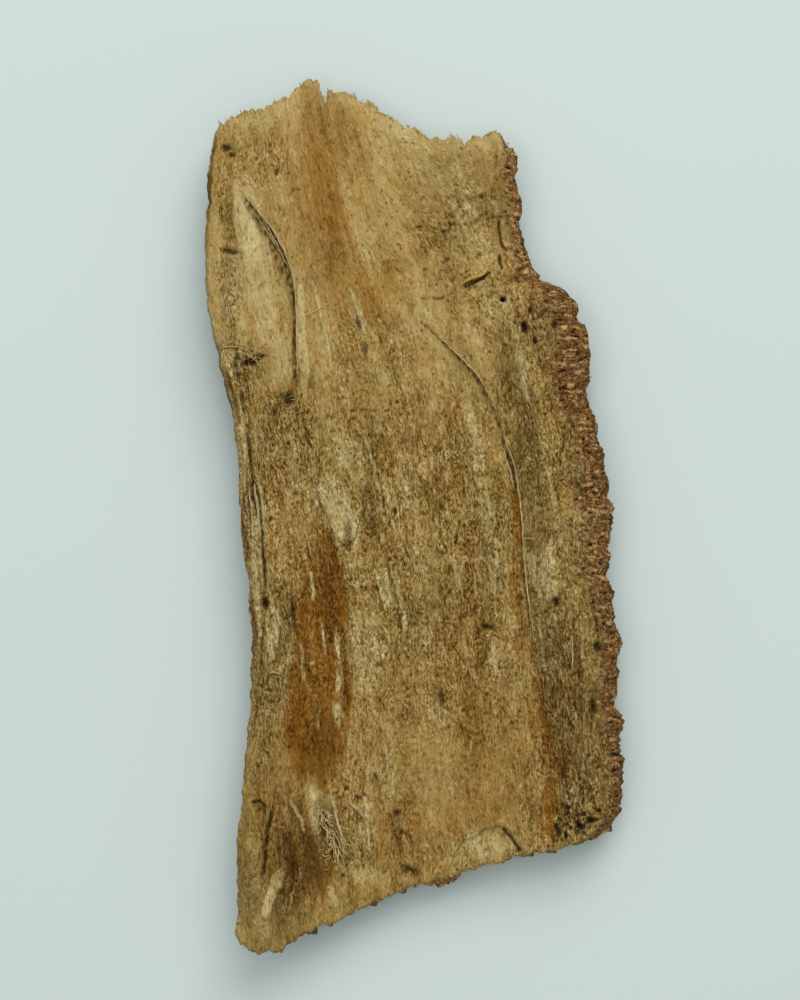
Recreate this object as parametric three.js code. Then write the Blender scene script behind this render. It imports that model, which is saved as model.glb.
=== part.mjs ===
// Piece of tree bark lying on its outer face: a shallow trough with broken rims.
//
// Millimetres. +X runs across the grain, +Y along it towards the thin frayed end, +Z up.
// The origin is the centre of the slab's outline, on the surface that it rests on.

import * as THREE from 'three';
import { mergeVertices } from 'three/addons/utils/BufferGeometryUtils.js';

// Driving dimensions
const trunkRadius = 120; // the inner face followed a trunk of this radius
const thickness = 9.5; // inner face to plate tops, at the middle
const leftThinning = 2.5; // lost towards the left rim
const frayedEndThickness = 2.2; // what is left of the layers at the frayed end
const frayedEndLength = 34; // over which the frayed end thins
const frayedEndDroop = 2.0; // the frayed end bends down by this
const troughMiddle = 1; // x of the trough's floor at y = 0
const troughLean = -0.085; // how the floor shifts in x for each mm of y
const restDepth = 1.1; // how far weathering has flattened the lowest plates
const furrowPitch = 15; // across the grain, from furrow to furrow
const furrowDepth = 2.6;
const furrowMeander = 3.2; // sideways wander of a furrow
const meanderLength = 47; // along the grain, for one wander
const restWidth = 9; // half width of the middle plate that has no furrow
const sagAcross = 0.55; // low swells of the inner face
const sagLength = 58;

// Cells of the slab's surface
const cellsAcross = 30;
const cellsAlong = 60;
const layers = 3;

// The slab's outline seen from above, as four edges of hand-picked points
const frayedEdge = [
  [-39.5, 79], [-35, 80.5], [-30.5, 81.5], [-25.5, 83.5], [-23, 85.5], [-20.8, 87],
  [-17.8, 83.5], [-16.5, 85.3], [-12.5, 84], [-7, 81.5], [-3.5, 78.5], [1, 76.2],
  [5, 75], [8.5, 76], [10.5, 74], [13, 75.5], [16, 76.5], [18.6, 75.6],
];
const rightEdge = [
  [37.2, -64], [39.5, -62], [41.5, -57], [42, -51], [41.3, -41], [40.5, -29], [41, -24.5],
  [38.6, -12], [39.4, -5], [38.6, 6], [35.8, 21], [34.8, 25], [35.4, 28.5], [34, 36],
  [32.4, 41], [30.8, 44], [28, 46.2], [25.2, 48], [23.6, 51], [22, 55], [21.4, 61],
  [20.7, 65], [21.2, 67.5], [20.4, 72], [18.6, 75.6],
];
const brokenEdge = [
  [-35.2, -83.5], [-33.5, -85.6], [-30.5, -86.6], [-26.8, -87], [-24, -84.8], [-19, -82.4],
  [-13, -79.4], [-7, -76.8], [-2, -74.8], [3, -73.6], [10, -71.6], [16, -69.2],
  [21, -67.6], [27, -67.2], [30.6, -65.8], [37.2, -64],
];
const leftEdge = [
  [-35.2, -83.5], [-35.2, -71], [-35, -63], [-33.2, -41], [-32.3, -23], [-33, -13],
  [-34.6, 3], [-35.6, 15], [-37.2, 23], [-39.3, 32.5], [-41.2, 45], [-42, 54],
  [-41.2, 63], [-40.4, 74], [-39.5, 79],
];

// How far the inner face stops short of the outline, in mm, at shares of the rim's length
const rightRimRun = [
  [0, 3.5], [0.12, 4], [0.28, 6], [0.45, 10], [0.6, 10.5], [0.78, 8.5], [0.86, 5], [1, 4],
];
const leftRimRun = [[0, 3], [0.16, 3], [0.3, 1.5], [0.45, 3], [0.66, 2.6], [0.78, 1], [1, 1]];
const brokenRimRun = [[0, 0.6], [0.5, 1], [1, 1.4]];
const frayedUndercut = 16; // how far the outer layers stop short of the frayed edge
const leftUndercut = 1.6; // and of the left edge

// Straight-line reading of a list of [place, value] steps
function stepped(steps, place) {
  const next = Math.max(1, steps.findIndex(([at]) => at >= place));
  const [fromAt, fromValue] = steps[next - 1];
  const [toAt, toValue] = steps[next];
  return THREE.MathUtils.mapLinear(place, fromAt, toAt, fromValue, toValue);
}

function edgeCurve(points) {
  const path = points.map(([x, y]) => new THREE.Vector3(x, y, 0));
  const curve = new THREE.CatmullRomCurve3(path, false, 'centripetal');
  curve.arcLengthDivisions = 600;
  return curve;
}

const outline = {
  frayed: edgeCurve(frayedEdge),
  right: edgeCurve(rightEdge),
  broken: edgeCurve(brokenEdge),
  left: edgeCurve(leftEdge),
};

// A point of the plan, filled in from the four edges: across and along run from 0 to 1
function planPoint(across, along) {
  const corners = [outline.broken.getPointAt(0), outline.broken.getPointAt(1),
    outline.frayed.getPointAt(0), outline.frayed.getPointAt(1)];
  const point = new THREE.Vector3()
    .addScaledVector(outline.left.getPointAt(along), 1 - across)
    .addScaledVector(outline.right.getPointAt(along), across)
    .addScaledVector(outline.broken.getPointAt(across), 1 - along)
    .addScaledVector(outline.frayed.getPointAt(across), along);
  const weights = [(1 - across) * (1 - along), across * (1 - along),
    (1 - across) * along, across * along];
  corners.forEach((corner, i) => point.addScaledVector(corner, -weights[i]));
  return point;
}

// The sides slope: depth is 0 on the inner face and 1 on the outer face
function slopedPlan(across, along, depth) {
  const width = outline.left.getPointAt(along).distanceTo(outline.right.getPointAt(along));
  const length = outline.broken.getPointAt(across).distanceTo(outline.frayed.getPointAt(across));
  const toInner = 1 - depth;
  const leftIn = (stepped(leftRimRun, along) * toInner + leftUndercut * depth ** 2) / width;
  const rightIn = stepped(rightRimRun, along) * toInner / width;
  const brokenIn = stepped(brokenRimRun, across) * toInner / length;
  const frayedIn = frayedUndercut * depth ** 1.5 / length;
  return planPoint(
    THREE.MathUtils.lerp(leftIn, 1 - rightIn, across),
    THREE.MathUtils.lerp(brokenIn, 1 - frayedIn, along),
  );
}

// Height of the trough's curve above its lowest line
function troughRise(x, y) {
  const offAxis = x - troughMiddle - troughLean * y;
  return trunkRadius - Math.sqrt(trunkRadius ** 2 - offAxis ** 2);
}

function innerHeight(x, y, towardsFrayed) {
  const swell = sagAcross * Math.sin(2 * Math.PI * (x + 0.4 * y) / sagLength)
    * Math.cos(2 * Math.PI * y / (2 * sagLength));
  return thickness + troughRise(x, y) + swell - frayedEndDroop * towardsFrayed ** 2;
}

function slabThickness(across, towardsFrayed) {
  const fullHere = thickness - leftThinning * (1 - THREE.MathUtils.smoothstep(across, 0, 0.4));
  return THREE.MathUtils.lerp(fullHere, frayedEndThickness, towardsFrayed);
}

// Furrows of the outer face, 0 on a plate and 1 at the bottom of a furrow
function furrow(x, y) {
  const wander = furrowMeander * Math.sin(2 * Math.PI * y / meanderLength + x / furrowPitch);
  const wave = 0.5 - 0.5 * Math.cos(2 * Math.PI * (x + wander) / furrowPitch);
  const clearOfRest = THREE.MathUtils.smoothstep(Math.abs(x - troughMiddle), restWidth, 2 * restWidth);
  return wave ** 2 * clearOfRest;
}

function outerHeight(x, y, across, towardsFrayed) {
  const smooth = innerHeight(x, y, towardsFrayed) - slabThickness(across, towardsFrayed);
  const thinning = 1 - towardsFrayed;
  return Math.max(0, smooth - restDepth + furrowDepth * thinning * furrow(x, y));
}

function slabPoint(across, along, depth) {
  const { x, y } = slopedPlan(across, along, depth);
  const length = frayedEndLength / outline.left.getLength();
  const towardsFrayed = THREE.MathUtils.smoothstep(along, 1 - length, 1);
  const inner = innerHeight(x, y, towardsFrayed);
  const outer = outerHeight(x, y, across, towardsFrayed);
  return new THREE.Vector3(x, y, THREE.MathUtils.lerp(inner, outer, depth));
}

// A block of unit size, cut into cells, whose every point is moved onto the slab
function slabGeometry() {
  const block = new THREE.BoxGeometry(1, 1, 1, cellsAcross, cellsAlong, layers);
  block.deleteAttribute('normal');
  block.deleteAttribute('uv');
  const geometry = mergeVertices(block, 1e-5);
  const position = geometry.getAttribute('position');
  const cell = new THREE.Vector3();
  for (let i = 0; i < position.count; i += 1) {
    cell.fromBufferAttribute(position, i).addScalar(0.5);
    const point = slabPoint(cell.x, cell.y, 1 - cell.z);
    position.setXYZ(i, point.x, point.y, point.z);
  }
  geometry.computeBoundingBox();
  const middle = geometry.boundingBox.getCenter(new THREE.Vector3());
  geometry.translate(-middle.x, -middle.y, -geometry.boundingBox.min.z);
  geometry.computeVertexNormals();
  return geometry;
}

const barkMaterial = new THREE.MeshStandardMaterial({
  color: 0x9c7f4e,
  roughness: 0.86,
  metalness: 0,
});

const bark = new THREE.Mesh(slabGeometry(), barkMaterial);
bark.name = 'bark';

const pieceOfBark = new THREE.Group();
pieceOfBark.add(bark);

export default pieceOfBark;
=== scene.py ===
import math

import bpy
import numpy as np
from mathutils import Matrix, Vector


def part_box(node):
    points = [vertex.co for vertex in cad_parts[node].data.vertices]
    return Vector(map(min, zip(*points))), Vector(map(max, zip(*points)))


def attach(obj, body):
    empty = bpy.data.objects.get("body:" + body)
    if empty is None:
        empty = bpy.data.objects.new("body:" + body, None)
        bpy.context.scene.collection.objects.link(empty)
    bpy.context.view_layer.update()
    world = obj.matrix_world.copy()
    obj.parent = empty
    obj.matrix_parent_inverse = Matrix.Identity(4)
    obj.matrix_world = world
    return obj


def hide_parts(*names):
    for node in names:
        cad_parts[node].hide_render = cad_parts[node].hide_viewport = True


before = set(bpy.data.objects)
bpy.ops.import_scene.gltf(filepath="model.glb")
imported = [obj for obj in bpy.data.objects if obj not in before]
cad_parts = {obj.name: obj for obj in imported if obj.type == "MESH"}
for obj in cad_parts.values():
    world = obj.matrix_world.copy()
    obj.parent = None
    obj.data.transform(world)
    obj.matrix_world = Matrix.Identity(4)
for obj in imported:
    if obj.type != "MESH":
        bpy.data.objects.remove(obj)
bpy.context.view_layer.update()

# A piece of tree bark, inner face up: one skin around the CAD slab, and loose fibres on it
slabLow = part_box("bark")[0]
restHeight = slabLow[2] * 1000  # mm, where the lowest plates touch the floor

# All shapes below are worked out in millimetres and made in metres.
toMetres = 0.001
dice = np.random.default_rng(1907)


# Noise, all of it the same on every run
noiseTable = np.tile(dice.permutation(256), 3)
noiseSpokes = dice.normal(size=(256, 3))
noiseSpokes /= np.linalg.norm(noiseSpokes, axis=1)[:, None]


def smooth(low, high, value):
    t = np.clip((value - low) / (high - low), 0, 1)
    return t * t * (3 - 2 * t)


def swirl(x, y, seed=0):
    # gradient noise, about -0.7 to 0.7, one lump for each unit
    p = np.stack(np.broadcast_arrays(x + 17.3 * seed, y - 9.1 * seed, 5.7 * seed), -1)
    cell = np.floor(p).astype(int)
    f = p - cell
    cell &= 255
    fade = f * f * f * (f * (f * 6 - 15) + 10)
    total = 0
    for i in (0, 1):
        for j in (0, 1):
            for k in (0, 1):
                spot = noiseTable[noiseTable[noiseTable[cell[..., 0] + i] + cell[..., 1] + j]
                                  + cell[..., 2] + k]
                reach = ((f - (i, j, k)) * noiseSpokes[spot]).sum(-1)
                wx = fade[..., 0] if i else 1 - fade[..., 0]
                wy = fade[..., 1] if j else 1 - fade[..., 1]
                wz = fade[..., 2] if k else 1 - fade[..., 2]
                total = total + wx * wy * wz * reach
    return total


def layered(x, y, seed=0, times=3):
    # swirls of smaller and smaller size, added up
    total, size, share = 0, 1.0, 1.0
    for turn in range(times):
        total = total + share * swirl(x * size, y * size, seed + turn)
        size *= 2.03
        share *= 0.5
    return total


def pores(x, y, seed=0):
    # distance to the nearest scattered point, and that point's own number from 0 to 1
    cx, cy = np.floor(x).astype(int), np.floor(y).astype(int)
    nearest = np.full(np.shape(x), 9.0)
    own = np.zeros(np.shape(x))
    for i in (-1, 0, 1):
        for j in (-1, 0, 1):
            mixed = noiseTable[noiseTable[(cx + i + 31 * seed) & 255] + ((cy + j) & 255)]
            px = cx + i + noiseTable[mixed + 1] / 255.0
            py = cy + j + noiseTable[mixed + 2] / 255.0
            away = np.hypot(x - px, y - py)
            closer = away < nearest
            nearest = np.where(closer, away, nearest)
            own = np.where(closer, noiseTable[mixed + 3] / 255.0, own)
    return nearest, own


# The slab: the curve and thickness of the CAD slab, and its outline in finer steps. Millimetres.
slab = {
    "trunkRadius": 120.0,
    "thickness": 9.5,
    "leftThinning": 2.5,
    "frayedThickness": 2.2,
    "frayedLength": 34.0,
    "sideLength": 163.0,  # of the left side, roughly
    "frayedDroop": 2.0,
    "troughMiddle": 1.0,
    "troughLean": -0.085,
    "sagAcross": 0.55,  # low swells of the inner face
    "sagLength": 58.0,
    "restDepth": 1.1,  # how far the lowest plates are worn flat
    "furrowPitch": 15.0,
    "furrowDepth": 2.6,
    "furrowMeander": 3.2,
    "meanderLength": 47.0,
    "restWidth": 9.0,
    "frayedUndercut": 16.0,
    "leftUndercut": 1.6,
    "cellsAcross": 300,
    "cellsAlong": 560,
    "wallRings": 12,
    "frayedEdge": [
        (-39.0, 79.0), (-35.5, 80.4), (-34.3, 81.3), (-31.6, 81.4), (-30.0, 82.6), (-28.0, 83.5),
        (-24.8, 84.4), (-23.3, 85.8), (-22.2, 87.6), (-20.6, 88.0), (-19.3, 87.6), (-18.9, 86.2),
        (-17.8, 83.2), (-17.3, 86.5), (-15.4, 85.6), (-12.5, 85.5), (-9.9, 83.7), (-8.4, 83.5),
        (-6.4, 81.6), (-4.0, 79.6), (-1.1, 78.8), (1.6, 77.2), (5.3, 75.6), (7.2, 76.9), (9.2, 76.6),
        (10.2, 74.6), (11.0, 75.8), (13.0, 76.8), (13.9, 76.4), (16.2, 77.8), (19.0, 75.3),
    ],
    "rightEdge": [
        (37.0, -64.6), (39.2, -62.9), (41.1, -59.2), (41.4, -55.8), (42.0, -51.2), (41.3, -48.0),
        (41.5, -41.0), (40.4, -37.0), (41.2, -31.0), (40.6, -27.8), (41.3, -24.5), (39.8, -16.6),
        (38.8, -12.0), (39.0, -10.5), (39.6, -4.4), (39.4, 1.8), (38.6, 8.3), (36.8, 17.4), (35.3, 22.4),
        (34.4, 24.1), (34.6, 25.2), (35.5, 27.0), (35.1, 30.1), (35.5, 32.6), (35.1, 34.1), (34.9, 36.8),
        (34.3, 38.6), (33.3, 38.9), (32.6, 40.3), (33.1, 41.6), (32.9, 43.0), (31.5, 43.9), (30.7, 45.2),
        (29.6, 45.5), (28.4, 45.4), (27.9, 46.2), (26.8, 46.2), (26.0, 45.4), (24.8, 45.6), (25.4, 48.4),
        (24.3, 49.2), (22.2, 54.3), (20.9, 57.9), (21.4, 60.8), (20.9, 63.1), (20.2, 67.3), (21.0, 69.8),
        (20.7, 72.6), (19.0, 75.3),
    ],
    "brokenEdge": [
        (-35.5, -82.6), (-34.2, -84.6), (-30.6, -86.6), (-29.0, -86.0), (-26.8, -86.2), (-26.4, -86.4),
        (-24.5, -84.3), (-21.7, -83.4), (-18.9, -81.6), (-15.8, -80.9), (-12.3, -79.3), (-8.2, -77.0),
        (-4.4, -75.8), (1.2, -73.5), (4.0, -73.0), (9.4, -71.2), (13.1, -69.9), (16.2, -69.4),
        (20.2, -68.0), (23.2, -67.2), (26.8, -66.8), (29.8, -66.2), (32.6, -65.0), (37.0, -64.6),
    ],
    "leftEdge": [
        (-35.5, -82.6), (-34.9, -78.0), (-35.0, -71.0), (-35.1, -63.6), (-34.6, -60.0), (-33.8, -50.8),
        (-32.6, -38.0), (-32.4, -30.0), (-32.1, -24.8), (-32.6, -19.6), (-32.9, -13.5), (-34.0, -7.4),
        (-34.5, -1.3), (-34.8, 6.4), (-35.3, 13.0), (-36.0, 19.0), (-37.4, 24.6), (-38.6, 29.6),
        (-39.4, 33.6), (-40.9, 40.0), (-41.4, 46.0), (-41.7, 53.0), (-41.2, 62.0), (-41.2, 68.4),
        (-40.4, 73.0), (-39.9, 76.6), (-39.0, 79.0),
    ],
    # lumps of outer bark that stick out under the broken end:
    # x, y, half width, reach, share of the height, redness
    "lumps": [
        (5.6, -72.6, 3.8, 1.7, 0.30, 0.9), (-2.6, -74.4, 1.0, 1.1, 0.30, 0.0),
        (-0.2, -73.9, 0.8, 0.9, 0.30, 0.3), (-8.4, -77.2, 1.0, 1.2, 0.32, 0.0),
        (-14.4, -80.2, 1.2, 0.5, 0.32, 0.0), (-17.0, -81.2, 0.8, 0.9, 0.3, 0.0),
        (-20.6, -83.0, 1.0, 1.2, 0.32, 0.0), (-24.8, -85.0, 0.9, 1.0, 0.3, 0.0),
        (-27.6, -86.6, 1.4, 0.5, 0.3, 0.0), (13.0, -69.9, 0.8, 0.9, 0.3, 0.0),
        (18.6, -67.8, 1.1, 1.1, 0.3, 0.2), (22.6, -67.2, 1.6, 1.2, 0.3, 0.0),
        (27.4, -66.4, 1.4, 1.2, 0.3, 0.4), (33.0, -64.6, 1.8, 0.9, 0.3, 0.4),
        (-32.4, -86.0, 1.4, 0.8, 0.3, 0.2),
    ],
    # how far each broken side slopes inwards, in mm, at shares of its length
    "rightRun": [(0, 4.5), (0.1, 4.5), (0.28, 6), (0.45, 9.5), (0.62, 10), (0.78, 8), (0.86, 5), (1, 3.5)],
    "leftRun": [(0, 3), (0.16, 3.2), (0.3, 2.2), (0.45, 3.6), (0.62, 3.4), (0.7, 1.2), (1, 0.9)],
    # reddish bark on the shoulder: x, y, half width, half length, lean, strength
    "shoulderCork": (28.8, 37.0, 6.0, 10, 12, 0.40),
}


def edgeReader(points):
    # gives x and y at any share of an edge's length
    pts = np.array(points, float)
    lengths = np.r_[0, np.cumsum(np.linalg.norm(np.diff(pts, axis=0), axis=1))]
    return lambda share: (np.interp(share * lengths[-1], lengths, pts[:, 0]),
                          np.interp(share * lengths[-1], lengths, pts[:, 1]))


def stepped(steps, share):
    at, value = np.array(steps).T
    return np.interp(share, at, value)


frayedAt = edgeReader(slab["frayedEdge"])
rightAt = edgeReader(slab["rightEdge"])
brokenAt = edgeReader(slab["brokenEdge"])
leftAt = edgeReader(slab["leftEdge"])


def planPoint(u, v):
    # fills the outline in from its four edges; u runs left to right and v from the broken to the frayed end
    corners = [brokenAt(0.0), brokenAt(1.0), frayedAt(0.0), frayedAt(1.0)]
    weights = [(1 - u) * (1 - v), u * (1 - v), (1 - u) * v, u * v]
    sides = zip(leftAt(v), rightAt(v), brokenAt(u), frayedAt(u))
    xy = []
    for axis, (left, right, broken, frayed) in enumerate(sides):
        flat = sum(w * c[axis] for w, c in zip(weights, corners))
        xy.append((1 - u) * left + u * right + (1 - v) * broken + v * frayed - flat)
    return xy


def sideLengths(u, v):
    width = np.hypot(*(a - b for a, b in zip(leftAt(v), rightAt(v))))
    length = np.hypot(*(a - b for a, b in zip(brokenAt(u), frayedAt(u))))
    return width, length


def troughRise(x, y):
    offAxis = x - slab["troughMiddle"] - slab["troughLean"] * y
    return slab["trunkRadius"] - np.sqrt(slab["trunkRadius"] ** 2 - offAxis ** 2)


def frayedShare(v):
    length = slab["frayedLength"] / slab["sideLength"]
    return smooth(1 - length, 1.0, v)


def innerHeight(x, y, v):
    sag = slab["sagLength"]
    swell = slab["sagAcross"] * np.sin(2 * math.pi * (x + 0.4 * y) / sag) * np.cos(math.pi * y / sag)
    return slab["thickness"] + troughRise(x, y) + swell - slab["frayedDroop"] * frayedShare(v) ** 2


def thicknessAt(u, v):
    full = slab["thickness"] - slab["leftThinning"] * (1 - smooth(0.0, 0.4, u))
    return full + (slab["frayedThickness"] - full) * frayedShare(v)


def furrow(x, y):
    # 0 on a plate of the outer face and 1 at the bottom of a furrow
    turn = 2 * math.pi * y / slab["meanderLength"] + x / slab["furrowPitch"]
    wander = slab["furrowMeander"] * np.sin(turn)
    wave = 0.5 - 0.5 * np.cos(2 * math.pi * (x + wander) / slab["furrowPitch"])
    clear = smooth(slab["restWidth"], 2 * slab["restWidth"], np.abs(x - slab["troughMiddle"]))
    return wave ** 2 * clear


# Features of the inner face, placed by x and y in mm
def offLine(x, y, points):
    # signed distance to an open line, positive on its right as it is walked, and the share of its length
    pts = np.array(points, float)
    ends = np.r_[0, np.cumsum(np.linalg.norm(np.diff(pts, axis=0), axis=1))]
    best = np.full(np.shape(x), 1e9)
    share = np.zeros(np.shape(x))
    for i in range(len(pts) - 1):
        step = pts[i + 1] - pts[i]
        t = np.clip(((x - pts[i, 0]) * step[0] + (y - pts[i, 1]) * step[1]) / (step @ step), 0, 1)
        dx, dy = x - pts[i, 0] - t * step[0], y - pts[i, 1] - t * step[1]
        away = np.hypot(dx, dy)
        side = np.where(step[1] * dx - step[0] * dy >= 0, 1.0, -1.0)
        closer = away < np.abs(best)
        best = np.where(closer, side * away, best)
        share = np.where(closer, (ends[i] + t * np.linalg.norm(step)) / ends[-1], share)
    return best, share


def blob(x, y, spot, soft=0.40):
    # a soft leaning oval: x, y, half width, half length, lean in degrees to the left, strength
    cx, cy, wide, long, lean, strength = spot
    a = math.radians(lean)
    across = (x - cx) * math.cos(a) + (y - cy) * math.sin(a)
    along = -(x - cx) * math.sin(a) + (y - cy) * math.cos(a)
    return strength * smooth(1 + soft, 1 - 1.2 * soft, np.hypot(across / wide, along / long))


def fadeEnds(share, part):
    # 1 along a line, easing to 0 over a part of its length at each end
    return smooth(0, part, share) * smooth(1, 1 - part, share)


# Lifted edges of the bast layers, walked so that the lifted side is on the right
peels = {
    "left": {
        "line": [(-23.3, 25.0), (-23.5, 30.4), (-23.4, 39.6), (-23.5, 43.4), (-23.9, 46.6), (-24.8, 49.6),
                 (-26.2, 53.4), (-27.6, 56.2), (-29.2, 58.4), (-31.0, 60.4), (-32.6, 62.4), (-35.0, 65.4)],
        "lift": 0.55, "reach": 6.0, "hollow": 1.2, "hollowWidth": 2.3, "shade": 0.88,
    },
    "right": {
        "line": [(23.5, -25.0), (22.6, -16.6), (21.9, -12.0), (21.6, -7.4), (21.2, 0.0), (20.6, 4.6),
                 (19.9, 9.4), (18.6, 13.0), (17.6, 16.2), (17.2, 19.4), (16.2, 21.2), (14.8, 24.0),
                 (12.8, 27.8), (9.8, 31.2), (6.6, 34.2), (3.4, 37.4), (1.2, 39.2), (-1.2, 40.3)],
        "lift": 0.38, "reach": 4.0, "hollow": 0.3, "hollowWidth": 0.8, "shade": 0.8,
    },
    "bottom": {
        "line": [(7.0, -70.4), (8.5, -66.6), (10.2, -64.6), (12.4, -64.2), (13.8, -62.7), (15.6, -62.3),
                 (17.1, -61.8), (18.6, -63.4), (20.4, -65.6), (21.6, -67.6)],
        "lift": -0.5, "reach": 9.0, "hollow": 0.0, "hollowWidth": 0.6, "shade": 0.35,
    },
    "tongue": {
        "line": [(-15.6, 7.0), (-15.0, 3.8), (-12.6, 0.2), (-11.2, -1.8), (-11.6, -4.2), (-13.6, -6.0),
                 (-15.8, -4.2), (-17.6, 0.2), (-20.0, 5.0)],
        "lift": 0.42, "reach": 2.4, "hollow": 0.12, "hollowWidth": 0.5, "shade": 0.75,
    },
}

# Cracks: points, width, depth
cracks = [
    ([(9.8, 45.9), (12.0, 46.9), (13.9, 47.7), (15.4, 49.0)], 0.45, 0.9),
    ([(1.0, 43.7), (5.4, 43.6), (6.9, 44.3), (8.6, 45.0)], 0.28, 0.45),
    ([(10.6, 58.4), (14.0, 59.2), (16.6, 59.8), (19.0, 59.9)], 0.26, 0.35),
    ([(16.9, 59.6), (17.0, 56.4), (17.8, 53.8), (19.2, 52.8)], 0.36, 0.8),
    ([(17.0, 52.4), (17.2, 50.6), (17.7, 49.2)], 0.34, 0.8),
    ([(24.8, 31.8), (25.3, 30.2), (26.0, 28.4)], 0.35, 0.6),
    ([(-32.3, 7.0), (-31.9, 3.4), (-31.2, -0.4)], 0.32, 0.8),
    ([(-32.4, -56.9), (-30.6, -56.5), (-29.7, -57.6), (-29.5, -59.6)], 0.30, 0.8),
    ([(-28.2, -58.0), (-28.6, -60.8), (-29.1, -62.9), (-29.4, -65.6), (-29.5, -68.2), (-29.9, -72.0)],
      0.34, 1.3),
    ([(-33.6, -62.0), (-31.8, -62.4), (-30.0, -62.2)], 0.2, 0.4),
    ([(17.6, -62.0), (19.6, -64.6), (21.4, -67.0)], 0.4, 0.9),
    ([(10.4, 11.9), (13.0, 12.5), (16.4, 12.6)], 0.2, 0.25),
    ([(15.6, -12.3), (16.6, -14.2), (17.6, -16.0)], 0.2, 0.3),
    ([(-29.4, -33.6), (-28.9, -31.9), (-27.2, -31.3)], 0.35, 0.5),
    ([(-13.7, -68.5), (-10.5, -68.7)], 0.25, 0.3),
    ([(-33.6, 18.6), (-32.8, 12.8), (-32.0, 7.2), (-30.7, 3.2), (-30.2, -3.2), (-29.7, -11.4),
      (-29.3, -16.6)], 0.3, 0.85),
    ([(-29.6, -19.0), (-30.2, -26.0), (-30.6, -33.0)], 0.25, 0.6),
    ([(-35.4, 30.0), (-34.2, 24.0), (-33.8, 19.0)], 0.3, 0.7),
    ([(33.6, 22.0), (34.0, 12.0), (34.8, 2.0)], 0.25, 0.5),
    ([(35.2, -14.0), (36.4, -22.0), (36.2, -31.0)], 0.35, 0.7),
    ([(30.8, -18.0), (32.4, -26.0), (33.0, -33.0)], 0.25, 0.5),
    ([(23.8, 47.0), (23.2, 42.6), (24.0, 38.4)], 0.3, 0.5),
    ([(-2.8, -69.7), (-1.0, -70.5), (0.8, -71.3)], 0.5, 0.7),
    ([(-38.6, 33.0), (-34.4, 33.4), (-31.0, 32.0)], 0.3, 0.4),
    ([(-24.6, -13.6), (-24.2, -18.0), (-24.0, -23.0)], 0.4, 0.35),
    ([(25.6, -26.4), (26.4, -33.0), (27.6, -38.0)], 0.35, 0.35),
]

# Pits and knots: x, y, half width, half length, lean, depth
pits = [
    (-36.7, 52.6, 2.0, 0.5, -8, 0.6), (-31.9, 31.0, 2.3, 0.8, 25, 1.0), (-25.0, 23.2, 1.2, 1.5, 0, 0.7),
    (-37.5, 73.6, 0.9, 0.7, 0, 0.7), (-36.3, 72.2, 0.7, 0.5, 0, 0.6), (-28.8, 74.5, 0.5, 0.35, 0, 0.3),
    (-27.6, 69.0, 0.4, 0.6, 0, 0.4), (-31.6, 71.5, 0.5, 0.35, 0, 0.3), (-23.2, 65.4, 0.35, 0.35, 0, 0.3),
    (-12.2, 21.1, 0.5, 0.3, 0, 0.3), (-10.0, 21.3, 0.6, 0.3, 0, 0.3), (-8.0, 21.2, 0.5, 0.25, 0, 0.3),
    (-5.4, 21.0, 0.5, 0.3, 0, 0.3), (-11.1, 38.5, 0.45, 1.6, 10, 0.3), (-9.8, 33.7, 0.45, 1.2, 12, 0.25),
    (1.2, 58.2, 0.6, 0.35, 0, 0.4), (6.0, 57.2, 0.8, 0.4, 10, 0.4), (7.6, 58.5, 0.8, 0.4, 0, 0.4),
    (13.4, 64.0, 0.45, 0.45, 0, 0.5), (6.8, 51.5, 0.5, 0.4, 0, 0.4), (13.1, 52.3, 0.5, 0.35, 0, 0.4),
    (2.1, 49.5, 0.4, 0.4, 0, 0.3), (14.8, -22.2, 1.6, 0.5, -14, 0.7), (1.8, -25.8, 0.25, 0.25, 0, 0.5),
    (5.1, -30.4, 0.8, 0.3, 0, 0.3), (5.6, -36.2, 0.45, 2.0, 8, 0.3), (-3.4, -59.2, 0.7, 0.6, 0, 0.3),
    (-2.6, -63.0, 0.4, 0.7, 0, 0.3), (-14.1, -71.5, 0.55, 0.35, -30, 0.6), (5.8, 9.4, 0.3, 0.3, 0, 0.3),
    (12.8, 4.9, 0.25, 0.35, 0, 0.3), (17.0, 2.8, 0.2, 0.25, 0, 0.3), (6.4, -6.2, 0.5, 0.5, 0, 0.25),
    (-10.4, -25.5, 0.4, 0.25, 0, 0.3), (-7.0, -29.7, 1.0, 0.35, 0, 0.4), (-6.8, -36.8, 0.5, 0.5, 0, 0.4),
    (-7.6, -52.0, 0.35, 0.8, 10, 0.3), (-11.0, -56.0, 0.7, 0.35, 0, 0.3), (-28.7, -0.8, 0.4, 0.5, 0, 0.4),
    (-23.8, 4.6, 0.6, 0.5, 0, 0.3), (22.1, 37.7, 0.7, 1.0, 10, 1.4), (28.1, 38.3, 0.9, 1.0, -25, 1.5),
    (24.1, 35.0, 0.5, 0.6, 20, 1.0), (23.2, 41.0, 0.5, 0.5, 0, 0.7), (27.0, 36.4, 0.3, 0.3, 0, 0.5),
    (-29.6, -17.4, 0.6, 1.2, 8, 2.2), (28.2, -17.0, 0.8, 0.8, 0, 0.8), (36.4, -26.2, 0.8, 1.2, 30, 1.2),
    (35.6, -38.0, 0.6, 1.4, 10, 0.9), (28.6, -62.6, 0.5, 1.5, 10, 1.1), (30.2, -63.6, 0.4, 1.0, 14, 1.0),
    (33.2, -61.8, 0.8, 0.7, 0, 1.1), (35.4, -60.6, 0.7, 0.6, 0, 1.0), (36.8, -58.6, 0.6, 0.5, 0, 0.8),
    (32.6, -59.6, 0.5, 0.4, 0, 0.6), (15.7, -17.0, 0.3, 0.3, 0, 0.3), (-17.2, -62.4, 1.7, 5.6, 20, 0.1),
]

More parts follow.
